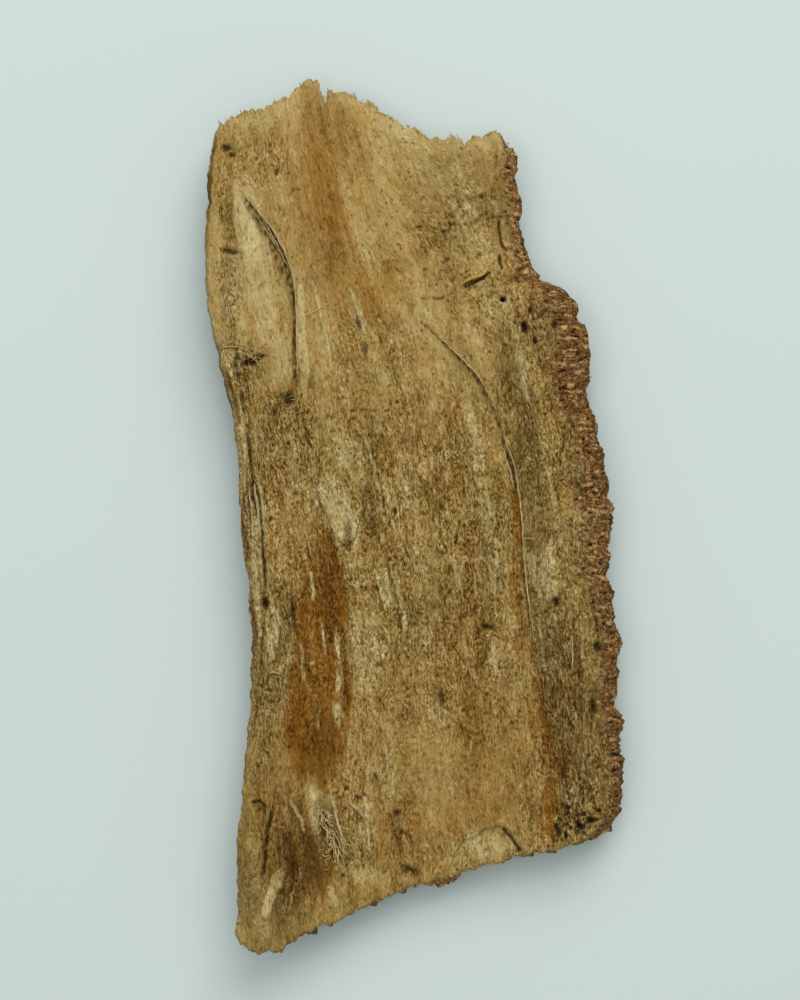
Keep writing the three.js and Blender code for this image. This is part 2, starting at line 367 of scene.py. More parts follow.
# Crumbled, knotted places: x, y, half width, half length, lean, strength
roughPlaces = [
    (33.4, -60.4, 6.5, 3.6, -8, 1.0), (36, -38, 3.0, 8.0, 6, 0.6), (35.5, -50, 3.4, 8, 0, 0.6),
    (-25.6, 18.5, 3.2, 6.0, 10, 0.7), (-33.2, 31.0, 4.4, 2.2, 20, 1.0), (-36.8, 66, 2.2, 12, 2, 0.5),
    (24.4, 37.6, 3.4, 4.0, 10, 0.8), (28.0, 30, 2.4, 9, 8, 0.6), (-37.4, 40, 1.8, 12, 8, 0.6),
    (30.4, -8, 2.4, 14, 4, 0.5), (31.2, -30, 2.4, 10, 6, 0.6), (12.6, 63, 4.0, 4.0, 0, 0.4),
    (-21.5, 8, 3.0, 6, 6, 0.4), (17.8, 66, 2.6, 10, 2, 0.6), (-24, -64, 2, 6, 6, 0.2),
]

# Smooth, clean places: x, y, half width, half length, lean, strength
calmPlaces = [
    (-14.6, -0.6, 3.2, 5.4, 28, 0.6), (14, -55, 9, 7, 0, 0.5),
]

beetleBore = {"x": 17.8, "y": 43.3, "radius": 0.5, "depth": 4.5, "reach": 2.6, "drawn": 0.6}

# Colour areas of the inner face: x, y, half width, half length, lean, strength
areas = {
    "grime": [
        (-25, 17, 6, 9, 8, 0.85), (-35, 28, 4, 7, 12, 0.8), (-31, 70, 7, 6, 0, 0.4),
        (-37, 50, 2, 18, 4, 0.6), (-2, -14, 12, 14, 4, 0.6), (12, 62, 7, 6, 0, 0.45),
        (4, 56, 5, 5, 0, 0.5), (13, 53, 4, 4, 0, 0.4), (-8, 34, 9, 8, 10, 0.4), (-20, 5, 6, 8, 6, 0.6),
        (26, 10, 4, 20, 6, 0.4), (24, 38, 4, 8, 6, 0.6), (-30, -35, 3, 20, 2, 0.6),
        (-25, -66, 7, 14, 4, 0.35), (30, -36, 7, 16, 4, 0.7), (33, -57, 6, 7, 0, 1.0),
        (-3, -50, 4, 14, 6, 0.4), (14, -36, 6, 8, 0, 0.4), (5, -66, 14, 5, 0, 0.3),
        (5.6, -24, 6, 4, 0, 0.7), (-12, -60, 6, 12, 0, 0.6),
    ],
    "stain": [
        (-18.4, 63.2, 6.5, 21, 5, 0.5), (-18.2, 63.5, 3.6, 6.5, 5, 0.3), (-17.5, 76.5, 5.0, 8, 0, 0.3),
        (-16.4, 60, 3.0, 4, 14, 0.25), (-13, 47, 8, 8, 10, 0.25), (-7.5, 43.2, 6.0, 6, 0, 0.42),
        (-2, 50, 9, 9, 0, 0.2), (5.2, 6.2, 3, 5, 8, 0.35), (8, 20.5, 3, 3.5, 10, 0.45),
        (0, 18, 9, 5, 0, 0.2), (20.4, -2.8, 0.9, 6, 4, 0.9), (20.6, -14.3, 1.6, 4.5, 4, 0.65),
        (21.6, -22, 1.5, 5.5, 4, 0.4), (-17.6, -12.3, 5.0, 7.5, 2, 0.85), (-19.6, -31, 4.0, 16, 2, 1.0),
        (-13.6, -32, 1.1, 11, 1, 0.85), (-18.8, -46.6, 5.6, 7.4, 0, 1.0),
        (-21.8, -47.5, 2.8, 5.6, 0, 0.9), (-18.8, -2.8, 1.8, 1.6, 0, 0.7),
        (-17.6, -70.6, 2.2, 3, 10, 0.8), (-20.6, -68, 4.4, 8.5, 8, 0.6), (-20.2, -40, 5.4, 12, 2, 1.0),
        (-17.8, -20, 5.6, 9, 2, 0.9), (27.6, -57.5, 2.2, 4.6, 4, 0.9), (27.2, -49, 1.8, 6, 6, 0.6),
        (24.8, -40, 2.2, 8, 8, 0.6), (11.1, -32.7, 0.5, 0.8, 0, 0.9), (7, -46, 17, 22, 0, 0.24),
        (-24.8, 27, 2.5, 4, 0, 0.35), (-36, 58, 2.0, 14, 0, 0.2), (-1.5, -64, 6, 8, 0, 0.3),
        (-26, -62, 6, 12, 4, 0.3),
    ],
    "deep": [
        (-16.9, -62.8, 1.5, 5.8, 20, 0.55), (31.5, -42, 6.5, 20, 2, 0.25), (-17.4, -13, 3.4, 8, 2, 0.22),
        (-18.8, -46.0, 4.2, 8, 0, 0.42), (-20.8, -68.0, 4.2, 7.4, 10, 0.8), (-24.8, -71, 2.0, 8, 6, 0.75),
        (-18.9, -66.8, 0.7, 1.8, 6, 0.9), (29.0, -44, 2.0, 12, 6, 0.2), (-3.6, -62.7, 0.8, 5, 4, 0.5),
        (-1.0, -70.6, 2.2, 0.7, -24, 0.9), (-24.0, -19.6, 0.8, 3.4, 2, 0.7),
        (-19.7, -46, 0.5, 1.1, 0, 0.6), (-25.5, -66, 1.6, 10, 6, 0.4), (25.6, -37, 0.8, 5, 10, 0.4),
        (29.6, -50, 0.9, 3, 0, 0.6), (-13.0, -4.2, 0.8, 3.2, 8, 0.6), (-13.6, -30, 0.5, 9, 2, 0.3),
        (-17.6, 54, 3, 5, 20, 0.2), (-17.0, -20, 0.8, 9, 2, 0.35), (-21.6, -27, 0.5, 8, 2, 0.35),
        (-23.4, -58, 1.4, 3, 0, 0.6), (-4.5, 40, 2, 2, 0, 0.12),
    ],
    "pale": [
        (-33.6, 57.5, 2.2, 6.5, 14, 0.75), (-30.4, 43, 2.6, 12, 12, 0.6), (-26.2, 32, 2.2, 6, 4, 0.45),
        (-35.2, 45, 2.0, 10, 4, 0.3), (-33.2, 6, 1.3, 16, 6, 0.7), (-31.4, -10, 1.0, 8, 4, 0.6),
        (-22.4, 35.6, 1.0, 11.5, 2, 0.8), (-14.4, -1.0, 3.0, 5.2, 28, 1.0),
        (-17.0, 4.0, 2.6, 4.0, 28, 0.7), (-16.0, 3.0, 3.4, 5.0, 18, 0.7),
        (-13.0, 12.0, 2.6, 5.0, 24, 0.5), (-5.3, -15.8, 0.8, 4.6, 10, 0.9),
        (-3.6, -12.4, 0.6, 3.0, 8, 0.6), (-5.0, 2.0, 0.5, 6.4, 12, 0.8), (-6.8, 4.0, 0.4, 4.0, 12, 0.5),
        (27.0, -11.7, 1.7, 6.2, 6, 0.6), (24.6, -13, 0.6, 5.5, 8, 0.5), (-15.3, -24.3, 0.6, 2.8, 4, 1.0),
        (-15.2, -33, 0.55, 2.4, 0, 1.0), (-15.4, -39.5, 0.7, 2.8, 2, 0.8),
        (-20.2, -58.0, 1.3, 4.4, 16, 0.7), (-27.9, -74.5, 1.3, 4.8, -20, 1.0),
        (31.4, -26.2, 0.3, 3.0, 4, 0.9), (-10.5, -70.8, 4.4, 2.2, 0, 0.5), (15, -66, 5.2, 2.8, 0, 0.5),
        (15.9, -28, 0.9, 4.5, 2, 0.8), (21.2, 33, 1.0, 7, 8, 0.6), (18.2, 43.4, 1.3, 1.6, 0, 0.7),
        (-9.8, -27, 4.2, 9, 4, 0.35), (-9.6, -62, 0.8, 5, 4, 0.8), (-30.4, 0.6, 0.6, 6, 4, 0.9),
        (-27.6, -22, 0.9, 3.6, 2, 0.9), (-31, 81, 4, 4, 0, 0.35), (-34, 66, 3, 3, 0, 0.3),
        (12.6, -66.4, 5.6, 1.6, 0, 0.4), (32.0, -55, 1.0, 3.5, -10, 0.5), (3.4, 43, 3, 3, 0, 0.15),
        (-6, -47, 2.4, 9, 6, 0.25), (26.0, 12, 1.2, 7, 6, 0.3), (-31.4, 16, 0.7, 5, 6, 0.5),
        (12.0, 35.0, 1.2, 4, 24, 0.3), (-8, 30, 1.4, 6, 24, 0.2), (-11.2, 42, 0.7, 4, 24, 0.4),
    ],
    "dull": [
        (20.2, 24, 3.6, 15, 12, 0.55), (23.0, 4, 3.8, 18, 6, 0.85), (24.2, -14, 3.0, 14, 4, 0.6),
        (-29, -76, 6, 12, 0, 0.6), (-25, -76, 3.5, 8, 4, 0.7), (-33.4, -70, 2, 12, 0, 0.4),
        (24.4, -21, 2.2, 7, 8, 0.55), (34.2, -37.5, 2.2, 3.6, 0, 0.7), (31, -40, 5.0, 17, 2, 0.45),
        (27.5, -24, 2.5, 12, 4, 0.4), (-9.0, 1.0, 1.6, 6, 10, 0.85), (-27, 16, 6, 8, 4, 0.25),
        (-26, -20, 2.0, 6, 2, 0.7), (-27, -29, 1.4, 9, 2, 0.6), (-23.6, -62, 2.0, 5, 0, 0.5),
        (15.5, -7, 0.7, 2.2, 10, 0.9), (5.3, 2.6, 0.7, 1.0, 0, 0.7), (9, 65, 12, 12, 0, 0.45),
        (-20.6, 28, 0.9, 4, 4, 0.6), (-20.6, 45.6, 1.2, 2.2, 0, 0.6), (26, -31, 3.2, 6, 6, 0.4),
        (1, -16, 9, 8, 4, 0.3), (8, 32, 4, 6, 20, 0.3), (17, 60, 2, 8, 0, 0.25),
        (-33.5, 27, 2.5, 5, 0, 0.45), (-29.5, -48, 4, 22, 2, 0.35), (34, -48, 3, 6, 0, 0.4),
        (14, -38.6, 1.0, 1.8, 0, 0.5), (-36.4, 54, 1.4, 8, 0, 0.4), (27.5, 2, 1.6, 6, 4, 0.4),
        (-5.5, 15, 5, 4, 0, 0.3), (13.5, -22, 1, 3, 0, 0.2),
    ],
}

# Pale fibres and torn edges: points, half width, strength
paleLines = [
    ([(-20.6, -11.0), (-20.0, -17.0)], 0.35, 0.8), ([(-18.4, -21.0), (-17.6, -28.0)], 0.3, 0.7),
    ([(-22.2, -25.0), (-22.0, -33.0)], 0.35, 0.6), ([(-19.4, -36.0), (-18.8, -43.0)], 0.25, 0.5),
    ([(-13.4, -56.4), (-11.2, -58.4), (-9.6, -60.2), (-9.0, -63.4), (-9.1, -67.8)], 0.45, 0.9),
    ([(-24.8, -56.2), (-22.6, -60.2), (-21.6, -63.2)], 0.4, 0.85),
    ([(-16.5, -54.9), (-15.2, -60.8), (-14.1, -65.0), (-13.8, -68.4)], 0.4, 0.9),
    ([(-24.2, -74.0), (-24.6, -78.6)], 0.3, 0.7), ([(-16.8, -73.4), (-15.4, -78.0)], 0.6, 0.6),
    ([(-10.2, 17.0), (-8.6, 12.0), (-7.0, 5.0), (-6.2, 0.6)], 0.4, 0.9),
    ([(-7.2, -11.0), (-6.4, -15.0), (-5.2, -19.0)], 0.6, 1.0),
    ([(-4.6, -9.6), (-3.4, -14.0), (-2.0, -19.6), (-1.6, -24.0)], 0.5, 1.0),
    ([(9.6, 26.0), (12.4, 14.0), (14.2, 3.0), (15.8, -8.0), (16.4, -18.0)], 1.2, 0.5),
    ([(17.0, -10.0), (17.4, -15.4)], 0.35, 0.8),
    ([(-29.6, 56.0), (-28.4, 50.0), (-27.6, 44.0)], 0.3, 0.4),
    ([(19.4, 41.0), (20.2, 35.0), (21.8, 28.0), (22.6, 22.0)], 0.5, 0.7),
    ([(26.8, 10.0), (28.2, 1.0), (29.4, -6.0)], 0.5, 0.5),
    ([(-34.4, 18.0), (-33.6, 12.8), (-32.8, 7.2), (-31.6, 3.2), (-31.1, -3.2), (-30.5, -11.4)], 0.5, 0.6),
    ([(-29.3, -18.8), (-28.5, -24.0), (-28.3, -29.0)], 0.55, 0.9),
    ([(-31.6, 18.0), (-31.2, 8.0)], 0.3, 0.6), ([(-20.4, 48.0), (-17.6, 36.0), (-16.4, 30.0)], 0.3, 0.4),
    ([(-13.2, 46.0), (-11.2, 41.0), (-9.6, 36.0)], 0.35, 0.5),
    ([(-2.4, 27.0), (-0.6, 20.0), (0.0, 14.0)], 0.3, 0.4),
    ([(24.6, -20.0), (26.0, -30.0), (27.4, -37.0)], 0.3, 0.5), ([(33.0, -20.0), (33.6, -29.0)], 0.3, 0.5),
]

# Raised strips of the inner face: points, half width, height
ridges = [
    ([(-19.2, -55.6), (-18.2, -59.0), (-16.6, -63.6), (-15.2, -69.0)], 1.7, -0.75),
    ([(-21.9, 22.5), (-22.2, 32.0), (-22.2, 41.0), (-23.0, 46.6)], 1.0, 0.42),
    ([(-32.4, -55.6), (-31.4, -60.0), (-31.2, -68.0), (-31.6, -77.0)], 1.9, 0.9),
    ([(-28.0, -62.0), (-27.4, -70.0), (-28.2, -76.0), (-29.6, -80.0)], 1.1, 0.5),
    ([(-30.8, 9.0), (-30.4, 3.0), (-30.2, -4.0)], 0.5, 0.55), ([(-31.6, 17.0), (-31.2, 10.0)], 0.6, 0.4),
    ([(-28.2, -18.4), (-27.6, -22.0), (-27.2, -27.0)], 0.7, 0.5),
    ([(11.2, 23.0), (13.4, 14.0), (15.2, 4.0), (16.2, -8.0), (16.6, -20.0), (16.0, -30.0)], 1.5, 0.22),
    ([(-16.5, -56.0), (-14.9, -61.0), (-14.0, -66.0)], 0.7, 0.6),
    ([(-20.5, -56.0), (-19.2, -60.0), (-17.6, -64.0)], 1.2, 0.45),
    ([(-13.4, -56.4), (-11.2, -58.4), (-9.6, -60.2), (-9.0, -63.4), (-9.1, -67.8)], 0.5, 0.35),
    ([(-24.8, -56.2), (-22.6, -60.2), (-21.6, -63.2)], 0.45, 0.35),
    ([(20.6, 41.0), (21.6, 34.0), (22.6, 26.0), (24.6, 14.0), (26.6, 2.0)], 1.3, 0.3),
    ([(31.3, -22.0), (31.5, -30.0)], 0.35, 0.3),
    ([(26.2, -5.0), (26.8, -12.0), (28.4, -18.6)], 1.3, 0.25),
    ([(-11.6, 6.0), (-12.2, 0.0), (-13.0, -3.6)], 1.6, 0.25),
]


# The run of the fibres: they lean a little, and fan out towards the frayed end
grainRun = {"lean": 0.10, "fan": 0.30, "fanFrom": 30, "fanEase": 14, "fanMiddle": -6, "fanWidth": 26}


def fanShare(x):
    return np.exp(-((x - grainRun["fanMiddle"]) / grainRun["fanWidth"]) ** 2)


def grainAcross(x, y):
    # a coordinate that stays the same along each fibre
    ease = grainRun["fanEase"]
    fan = grainRun["fan"] * ease * np.log1p(np.exp((y - grainRun["fanFrom"]) / ease)) * fanShare(x)
    return x + grainRun["lean"] * y + fan + 0.9 * swirl(x / 14, y / 30, seed=3)


def colourAreas(x, y):
    wx = x + 0.9 * swirl(x / 2.2, y / 9, seed=11) + 0.35 * swirl(x / 0.7, y / 3, seed=12)
    wy = y + 3.2 * swirl(x / 1.6, y / 8, seed=13) + 1.2 * swirl(x / 0.6, y / 3, seed=14)
    streaky = (swirl(grainAcross(x, y) / 1.1, y / 18, seed=42)
               + 0.5 * swirl(grainAcross(x, y) / 0.5, y / 9, seed=43))
    masks = {}
    for name, spots in areas.items():
        mask = np.zeros(np.shape(x))
        for spot in spots:
            # pale patches, and stains nearer the broken end, have crisp borders
            crisp = name == "pale" or (name == "stain" and spot[1] < 10)
            drift = streaky if name == "stain" else 0
            one = blob(wx + 1.5 * drift, wy + 9 * drift, spot, 0.14 if crisp else 0.40)
            mask = 1 - (1 - mask) * (1 - np.clip(one, 0, 1))
        masks[name] = mask
    for line, halfWidth, strength in paleLines:
        away, share = offLine(x, y, line)
        away = np.abs(away + (0.3 + 0.6 * halfWidth) * swirl(x / 1.4, y / 2.2, seed=15))
        strength = np.clip(strength * (1 + 0.9 * swirl(x / 1.8, y / 4.5, seed=41)), 0, 1)
        one = strength * smooth(1.15 * halfWidth, 0.75 * halfWidth, away) * fadeEnds(share, 0.10)
        masks["pale"] = np.maximum(masks["pale"], one)
        masks["deep"] = masks["deep"] * (1 - one)
    streak = layered(grainAcross(x, y) / 1.3, y / 16, seed=21)
    for name, patchy in (("stain", 0.7), ("deep", 0.5), ("dull", 0.55)):
        masks[name] = np.clip(masks[name] * (1.1 + patchy * streak), 0, 1)
    masks["pale"] = np.clip(masks["pale"] * (1 - 0.4 * streak), 0, 1)
    return masks


def calmShare(x, y):
    calm = np.zeros(np.shape(x))
    for spot in calmPlaces:
        calm = np.maximum(calm, np.clip(blob(x, y, spot), 0, 1))
    return calm


def weathering(x, y, across):
    # swells along the grain, crumbled places and scattered holes: height in mm, and painted shade with some
    # dirt in the low spots and holes
    height = 0.50 * swirl(across / 7, y / 42, seed=1) + 0.24 * swirl(across / 2.6, y / 17, seed=2)
    height += 0.12 * swirl(across / 1.15, y / 5.5, seed=4) + 0.09 * swirl(across / 0.75, y / 2.0, seed=5)
    height += 0.10 * layered(x / 3.2, y / 4.0, seed=6)
    rough = np.clip(0.5 * smooth(0.0, 0.5, layered(x / 8, y / 12, seed=16)), 0, 1)
    for spot in roughPlaces:
        rough = np.maximum(rough, np.clip(blob(x + 1.2 * swirl(x / 2, y / 2, seed=17), y, spot), 0, 1))
    rough = rough * (1 - calmShare(x, y))
    lumps = layered(x / 1.5, y / 2.1, seed=18)
    height += rough * (0.42 * lumps + 0.16 * swirl(x / 0.75, y / 0.8, seed=19))
    dirtAndShade = rough * smooth(-0.05, -0.40, lumps) * 0.6
    away, own = pores(x / 1.5 + 0.4 * lumps, y / 1.4, seed=3)
    hole = smooth(0.42, 0.18, away) * (own > 0.62) * smooth(0.5, 0.9, rough)
    height -= 0.7 * hole
    return height, np.maximum(dirtAndShade, 0.95 * hole)


def tornSheets(x, y, across):
    # thin layers, torn away in long patches: height in mm, a line of painted shade at the foot of their
    # edges, and each one's level
    tornX = across + 0.8 * swirl(x / 1.6, y / 2.4, seed=22) + 0.3 * swirl(x / 0.6, y / 0.7, seed=23)
    tornY = y + 2.2 * swirl(x / 1.3, y / 3.0, seed=24)
    sheets = 4.2 * layered(tornX / 5.2, tornY / 21, seed=25)
    part = sheets - np.floor(sheets)
    height = 0.13 * (np.floor(sheets) + smooth(0.40, 0.60, part) - part)
    level = np.clip(0.46 + 0.14 * (np.floor(sheets) + smooth(0.42, 0.58, part))
                    + 0.24 * smooth(5, 60, y), 0, 1)
    dirtAndShade = 0.34 * smooth(0.10, 0.02, np.abs(part - 0.42)) * smooth(-0.2, 0.3, swirl(x / 3, y / 5, seed=26))
    return height, dirtAndShade, level


def peelRelief(x, y, peel):
    # one lifted edge, with the shaded hollow in front of it: height in mm, and the painted shadow in that
    # hollow, mixed with dark debris
    away, share = offLine(x, y, peel["line"])
    away = away + 0.14 * swirl(x / 0.8, y / 0.8, seed=7) + 0.2 * swirl(x / 2.2, y / 3.1, seed=27)
    ends = fadeEnds(share, 0.12) if peel["lift"] > 0 else 1.0
    ends = ends * (0.75 + 0.6 * swirl(x / 9, y / 6, seed=28))
    lifted = smooth(-0.12, 0.14, away) * np.exp(-np.clip(away, 0, None) / peel["reach"])
    height = peel["lift"] * ends * lifted
    wide = peel["hollowWidth"] * (0.35 + 0.65 * smooth(0.35, 0.6, share) * smooth(1.0, 0.75, share))
    under = np.exp(-((away + 0.45 * wide) / (0.5 * wide)) ** 2)
    height -= peel["hollow"] * ends * under * smooth(0.1, -0.15, away)
    under = smooth(0, 0.3, ends) * smooth(0.22, -0.05, away) * smooth(-1.3 * wide, -0.7 * wide, away)
    patchy = np.clip(0.7 + 1.7 * swirl(x / 0.6, y / 1.1, seed=39), 0.1, 1.1)
    return height, under * peel["shade"] * patchy


def ridgeRelief(x, y, line, halfWidth, rise):
    away, share = offLine(x, y, line)
    away = away + 0.25 * swirl(x / 1.2, y / 2.5, seed=29)
    return rise * fadeEnds(share, 0.15) * smooth(1.25 * halfWidth, 0.35 * halfWidth, np.abs(away))


def paleRelief(x, y, line, halfWidth, strength):
    # a raised pale fibre with a fine gap along each side, painted dark as the shadow in the gap
    away, share = offLine(x, y, line)
    away = away + (0.3 + 0.6 * halfWidth) * swirl(x / 1.4, y / 2.2, seed=15)
    ends = strength * fadeEnds(share, 0.12)
    height = 0.24 * ends * smooth(1.25 * halfWidth, 0.7 * halfWidth, np.abs(away))
    gap = (ends * smooth(0.28, 0.10, np.abs(np.abs(away) - halfWidth - 0.22))
           * (0.5 + swirl(x / 1.5, y / 2.5, seed=40)))
    return height - 0.12 * gap, 0.75 * gap


def crackRelief(x, y, line, width, depth):
    # a groove along the line, painted dark as shade in the crack
    away, share = offLine(x, y, line)
    away = np.abs(away + 0.30 * swirl(x / 0.9, y / 0.9, seed=8) + 0.14 * swirl(x / 0.4, y / 0.4, seed=30))
    broken = 0.35 + 0.65 * smooth(-0.15, 0.2, swirl(x / 1.3, y / 1.3, seed=36) + 0.4 * (depth > 0.75))
    cut = (smooth(width * 1.25, width * 0.25, away) * smooth(-0.02, 0.12, share)
           * smooth(1.02, 0.88, share) * broken)
    return -depth * cut, cut * min(0.95, 0.35 + depth)


def pitRelief(x, y):
    # all the pits and knots, with crumbled outlines, painted dark: shade in the hollows, with the knots'
    # own dark colour
    wx = x + 0.5 * swirl(x / 0.7, y / 0.7, seed=9) + 0.25 * swirl(x / 0.33, y / 0.33, seed=37)
    wy = y + 0.5 * swirl(x / 0.7, y / 0.7, seed=10) + 0.25 * swirl(x / 0.33, y / 0.33, seed=38)
    height, dirtAndShade = 0, 0
    for cx, cy, wide, long, lean, depth in pits:
        hollow = blob(wx, wy, (cx, cy, wide, long, lean, 1.0))
        height = height - depth * hollow
        dirtAndShade = np.maximum(dirtAndShade, min(1.0, 0.62 + 0.5 * depth) * hollow)
    return height, dirtAndShade


def poreRelief(across, y):
    # small sunken pores, painted dark as shade in them
    away, own = pores(across / 1.3, y / 1.8, seed=1)
    pore = smooth(0.22, 0.08, away) * (own > 0.66)
    return -0.18 * pore, 0.8 * pore * own


def reliefs(x, y, across):
    # each placed feature's height in mm and its darkening, painted shade with some dirt, one after another
    for peel in peels.values():
        yield peelRelief(x, y, peel)
    for ridge in ridges:
        yield ridgeRelief(x, y, *ridge), 0
    for line in paleLines:
        yield paleRelief(x, y, *line)
    for crack in cracks:
        yield crackRelief(x, y, *crack)
    yield pitRelief(x, y)
    yield poreRelief(across, y)


def innerRelief(x, y):
    # height in mm that the features add, how dark each point is painted for shade and dirt, and the level
    # of its layer
    across = grainAcross(x, y)
    height, dirtAndShade = weathering(x, y, across)
    rise, edges, level = tornSheets(x, y, across)
    height = height + rise
    dirtAndShade = np.maximum(dirtAndShade, edges)
    for rise, darker in reliefs(x, y, across):
        height = height + rise
        dirtAndShade = np.maximum(dirtAndShade, darker)
    return height, dirtAndShade, level


def boreHole(x, y):
    # draws the mesh in around the round hole, and says how deep each point goes
    dx, dy = x - beetleBore["x"], y - beetleBore["y"]
    away = np.hypot(dx, dy)
    reach, radius = beetleBore["reach"], beetleBore["radius"]
    inside = away < reach
    near = beetleBore["drawn"] * reach
    drawn = np.where(away < near, away * (radius / near),
                     radius + (away - near) * (reach - radius) / (reach - near))
    share = np.where(inside, drawn / np.maximum(away, 1e-6), 1.0)
    x, y = beetleBore["x"] + dx * share, beetleBore["y"] + dy * share
    now = np.where(inside, drawn, away)
    return x, y, smooth(radius * 1.05, radius * 0.75, now)


# The skin: one closed mesh
def ragged(along, seed, size):
    return size * (swirl(along / 2.6, 0.3, seed=seed) + 0.6 * swirl(along / 1.1, 0.3, seed=seed + 1)
                   + 0.55 * swirl(along / 0.55, 0.3, seed=seed + 2))


def rightRim(x, y, v, toRight, thick, height, dirtAndShade):
    # the layers step down to the torn outer bark, which is wormy and folded, with painted shade in its worm
    # holes, grooves and low spots
    run = stepped(slab["rightRun"], v) * (1 + 0.45 * swirl(y / 7, x / 30, seed=51))
    down = np.clip(1 - toRight / run, 0, 1)
    terraces = down + 0.06 * np.sin(14 * down + 5 * swirl(x / 5, y / 9, seed=52))
    drop = 0.68 * thick * np.clip(terraces, 0, 1) ** 1.2
    shoulder = blob(x + 1.2 * swirl(x / 1.6, y / 2.4, seed=59), y, slab["shoulderCork"])
    cork = shoulder + smooth(0.22, 0.64, down + 0.38 * swirl(x / 2.5, y / 7, seed=53)
                             + 0.16 * swirl(x / 0.7, y / 0.9, seed=54))
    wriggle = swirl(toRight / 1.7, y / 1.7, seed=58)
    fold = swirl(toRight / 2.4 + 0.9 * wriggle, y / 0.95 + 0.9 * wriggle, seed=55)
    groove = smooth(0.11, 0.0, np.abs(fold))
    knobble = layered(x / 1.7, y / 1.3, seed=57)
    gap, own = pores(toRight / 1.6 + 0.3 * wriggle, y / 1.0, seed=5)
    wormHole = smooth(0.34, 0.10, gap) * (own > 0.74)
    rough = smooth(0.02, 0.4, down)
    height = (height * (1 - 0.5 * rough)
              + rough * (0.5 * fold + 0.45 * knobble - 0.30 * groove - 0.7 * wormHole))
    cracked = np.clip(0.9 * wormHole + 0.75 * groove * smooth(-0.3, 0.2, knobble)
                      + 0.32 * smooth(0, -0.5, knobble), 0, 1)
    return drop, cork, height, np.maximum(dirtAndShade, rough * cracked)


def leftRim(x, y, v, toLeft, thick, height, dirtAndShade):
    # a narrow torn strip of upright layers: drop, height, darkening with painted shade in the slits between
    # the leaves, pale leaves and reddish edge
    run = stepped(slab["leftRun"], v) * (1 + 0.3 * swirl(y / 6, x / 30, seed=61))
    side = np.clip(1 - toLeft / run, 0, 1)
    leaf = swirl(toLeft / 0.9, y / 11, seed=62) + 0.6 * swirl(toLeft / 0.5, y / 5, seed=63)
    leaf = leaf * (0.25 + 0.75 * smooth(0.14, 0.34, v))
    height = height + smooth(0, 0.3, side) * (0.55 * leaf + 0.25 * layered(x / 1.4, y / 2, seed=64))
    dirtAndShade = np.maximum(dirtAndShade, smooth(0, 0.25, side) * smooth(-0.12, -0.4, leaf) * 0.75)
    paleLeaf = 0.9 * smooth(0, 0.3, side) * smooth(0.05, 0.35, leaf)
    edgeRed = smooth(0.6, 1.0, side + 0.3 * swirl(x / 2, y / 6, seed=65)) * 0.6
    return 0.38 * thick * side ** 1.8, height, dirtAndShade, paleLeaf, edgeRed


def topSheet():
    nu, nv = slab["cellsAcross"], slab["cellsAlong"]
    u, v = np.meshgrid(np.linspace(0, 1, nu + 1), np.linspace(0, 1, nv + 1), indexing="ij")
    x, y = planPoint(u, v)
    width, length = sideLengths(u, v)
    toRight, toLeft = (1 - u) * width, u * width
    toBroken, toFrayed = v * length, (1 - v) * length
    # fine raggedness of the four edges, fading out a few millimetres in
    besideShoulder = smooth(26, 34, y) * smooth(56, 50, y)
    x = x + ragged(y, 31, 1.25) * smooth(6, 0, toRight) * (1 - besideShoulder)
    x = x - ragged(y, 35, 0.45) * smooth(4, 0, toLeft)
    y = y + ragged(x, 39, 1.5) * smooth(5, 0, toFrayed) - ragged(x, 43, 1.1) * smooth(4, 0, toBroken)
    y = y + ragged(x, 47, 0.5) * smooth(4, 0, toRight) * besideShoulder
    x, y, bore = boreHole(x, y)
    height, dirtAndShade, level = innerRelief(x, y)
    masks = colourAreas(x, y)
    thick = thicknessAt(u, v)
    drop, cork, height, dirtAndShade = rightRim(x, y, v, toRight, thick, height, dirtAndShade)
    leftDrop, height, dirtAndShade, paleLeaf, edgeRed = leftRim(x, y, v, toLeft, thick, height, dirtAndShade)

    # frayed and broken ends crumble over the last millimetre or two
    crumble = smooth(0.8, 0.1, toBroken)
    feather = smooth(5.0, 0, toFrayed)
    drop = drop + leftDrop + crumble * (0.25 + 1.0 * np.abs(swirl(x / 1.1, y / 1.1, seed=71)))
    drop = drop + feather * 0.5
    height = height * (1 - 0.3 * feather) + 0.3 * feather * swirl(grainAcross(x, y) / 0.8, y / 4, seed=72)
    z = innerHeight(x, y, v) - drop + height - beetleBore["depth"] * bore

    masks["pale"] = np.maximum(masks["pale"], paleLeaf)
    masks["cork"] = np.clip(np.maximum(cork, edgeRed), 0, 1)
    # the beetle bore is painted dark as well, as shade down the hole
    masks["dirtAndShade"] = np.clip(np.maximum(dirtAndShade, bore), 0, 1)
    fade = 1 - 0.85 * masks["cork"]
    for name in ("stain", "deep", "pale", "dull"):
        masks[name] = masks[name] * fade
    masks["pale"] = np.maximum(masks["pale"], 0.35 * feather * fade)
    middle = 0.60 * smooth(36, 10, y) * smooth(-60, -28, y)
    slope = 0.66 * smooth(0.66, 0.84, u) * smooth(60, 40, y)
    grime = np.maximum(masks["grime"], np.maximum(middle, slope))
    grime = np.clip(grime + 0.42 * layered(x / 6, y / 9, seed=73), 0, 1)
    masks["grime"] = grime * (1 - 0.85 * calmShare(x, y))
    masks["level"] = level
    masks["crust"] = np.zeros(np.shape(x))
    rimPlace = np.stack([toRight, y, z], -1)
    return {"x": x, "y": y, "z": z, "u": u, "v": v, "masks": masks, "rim": rimPlace}


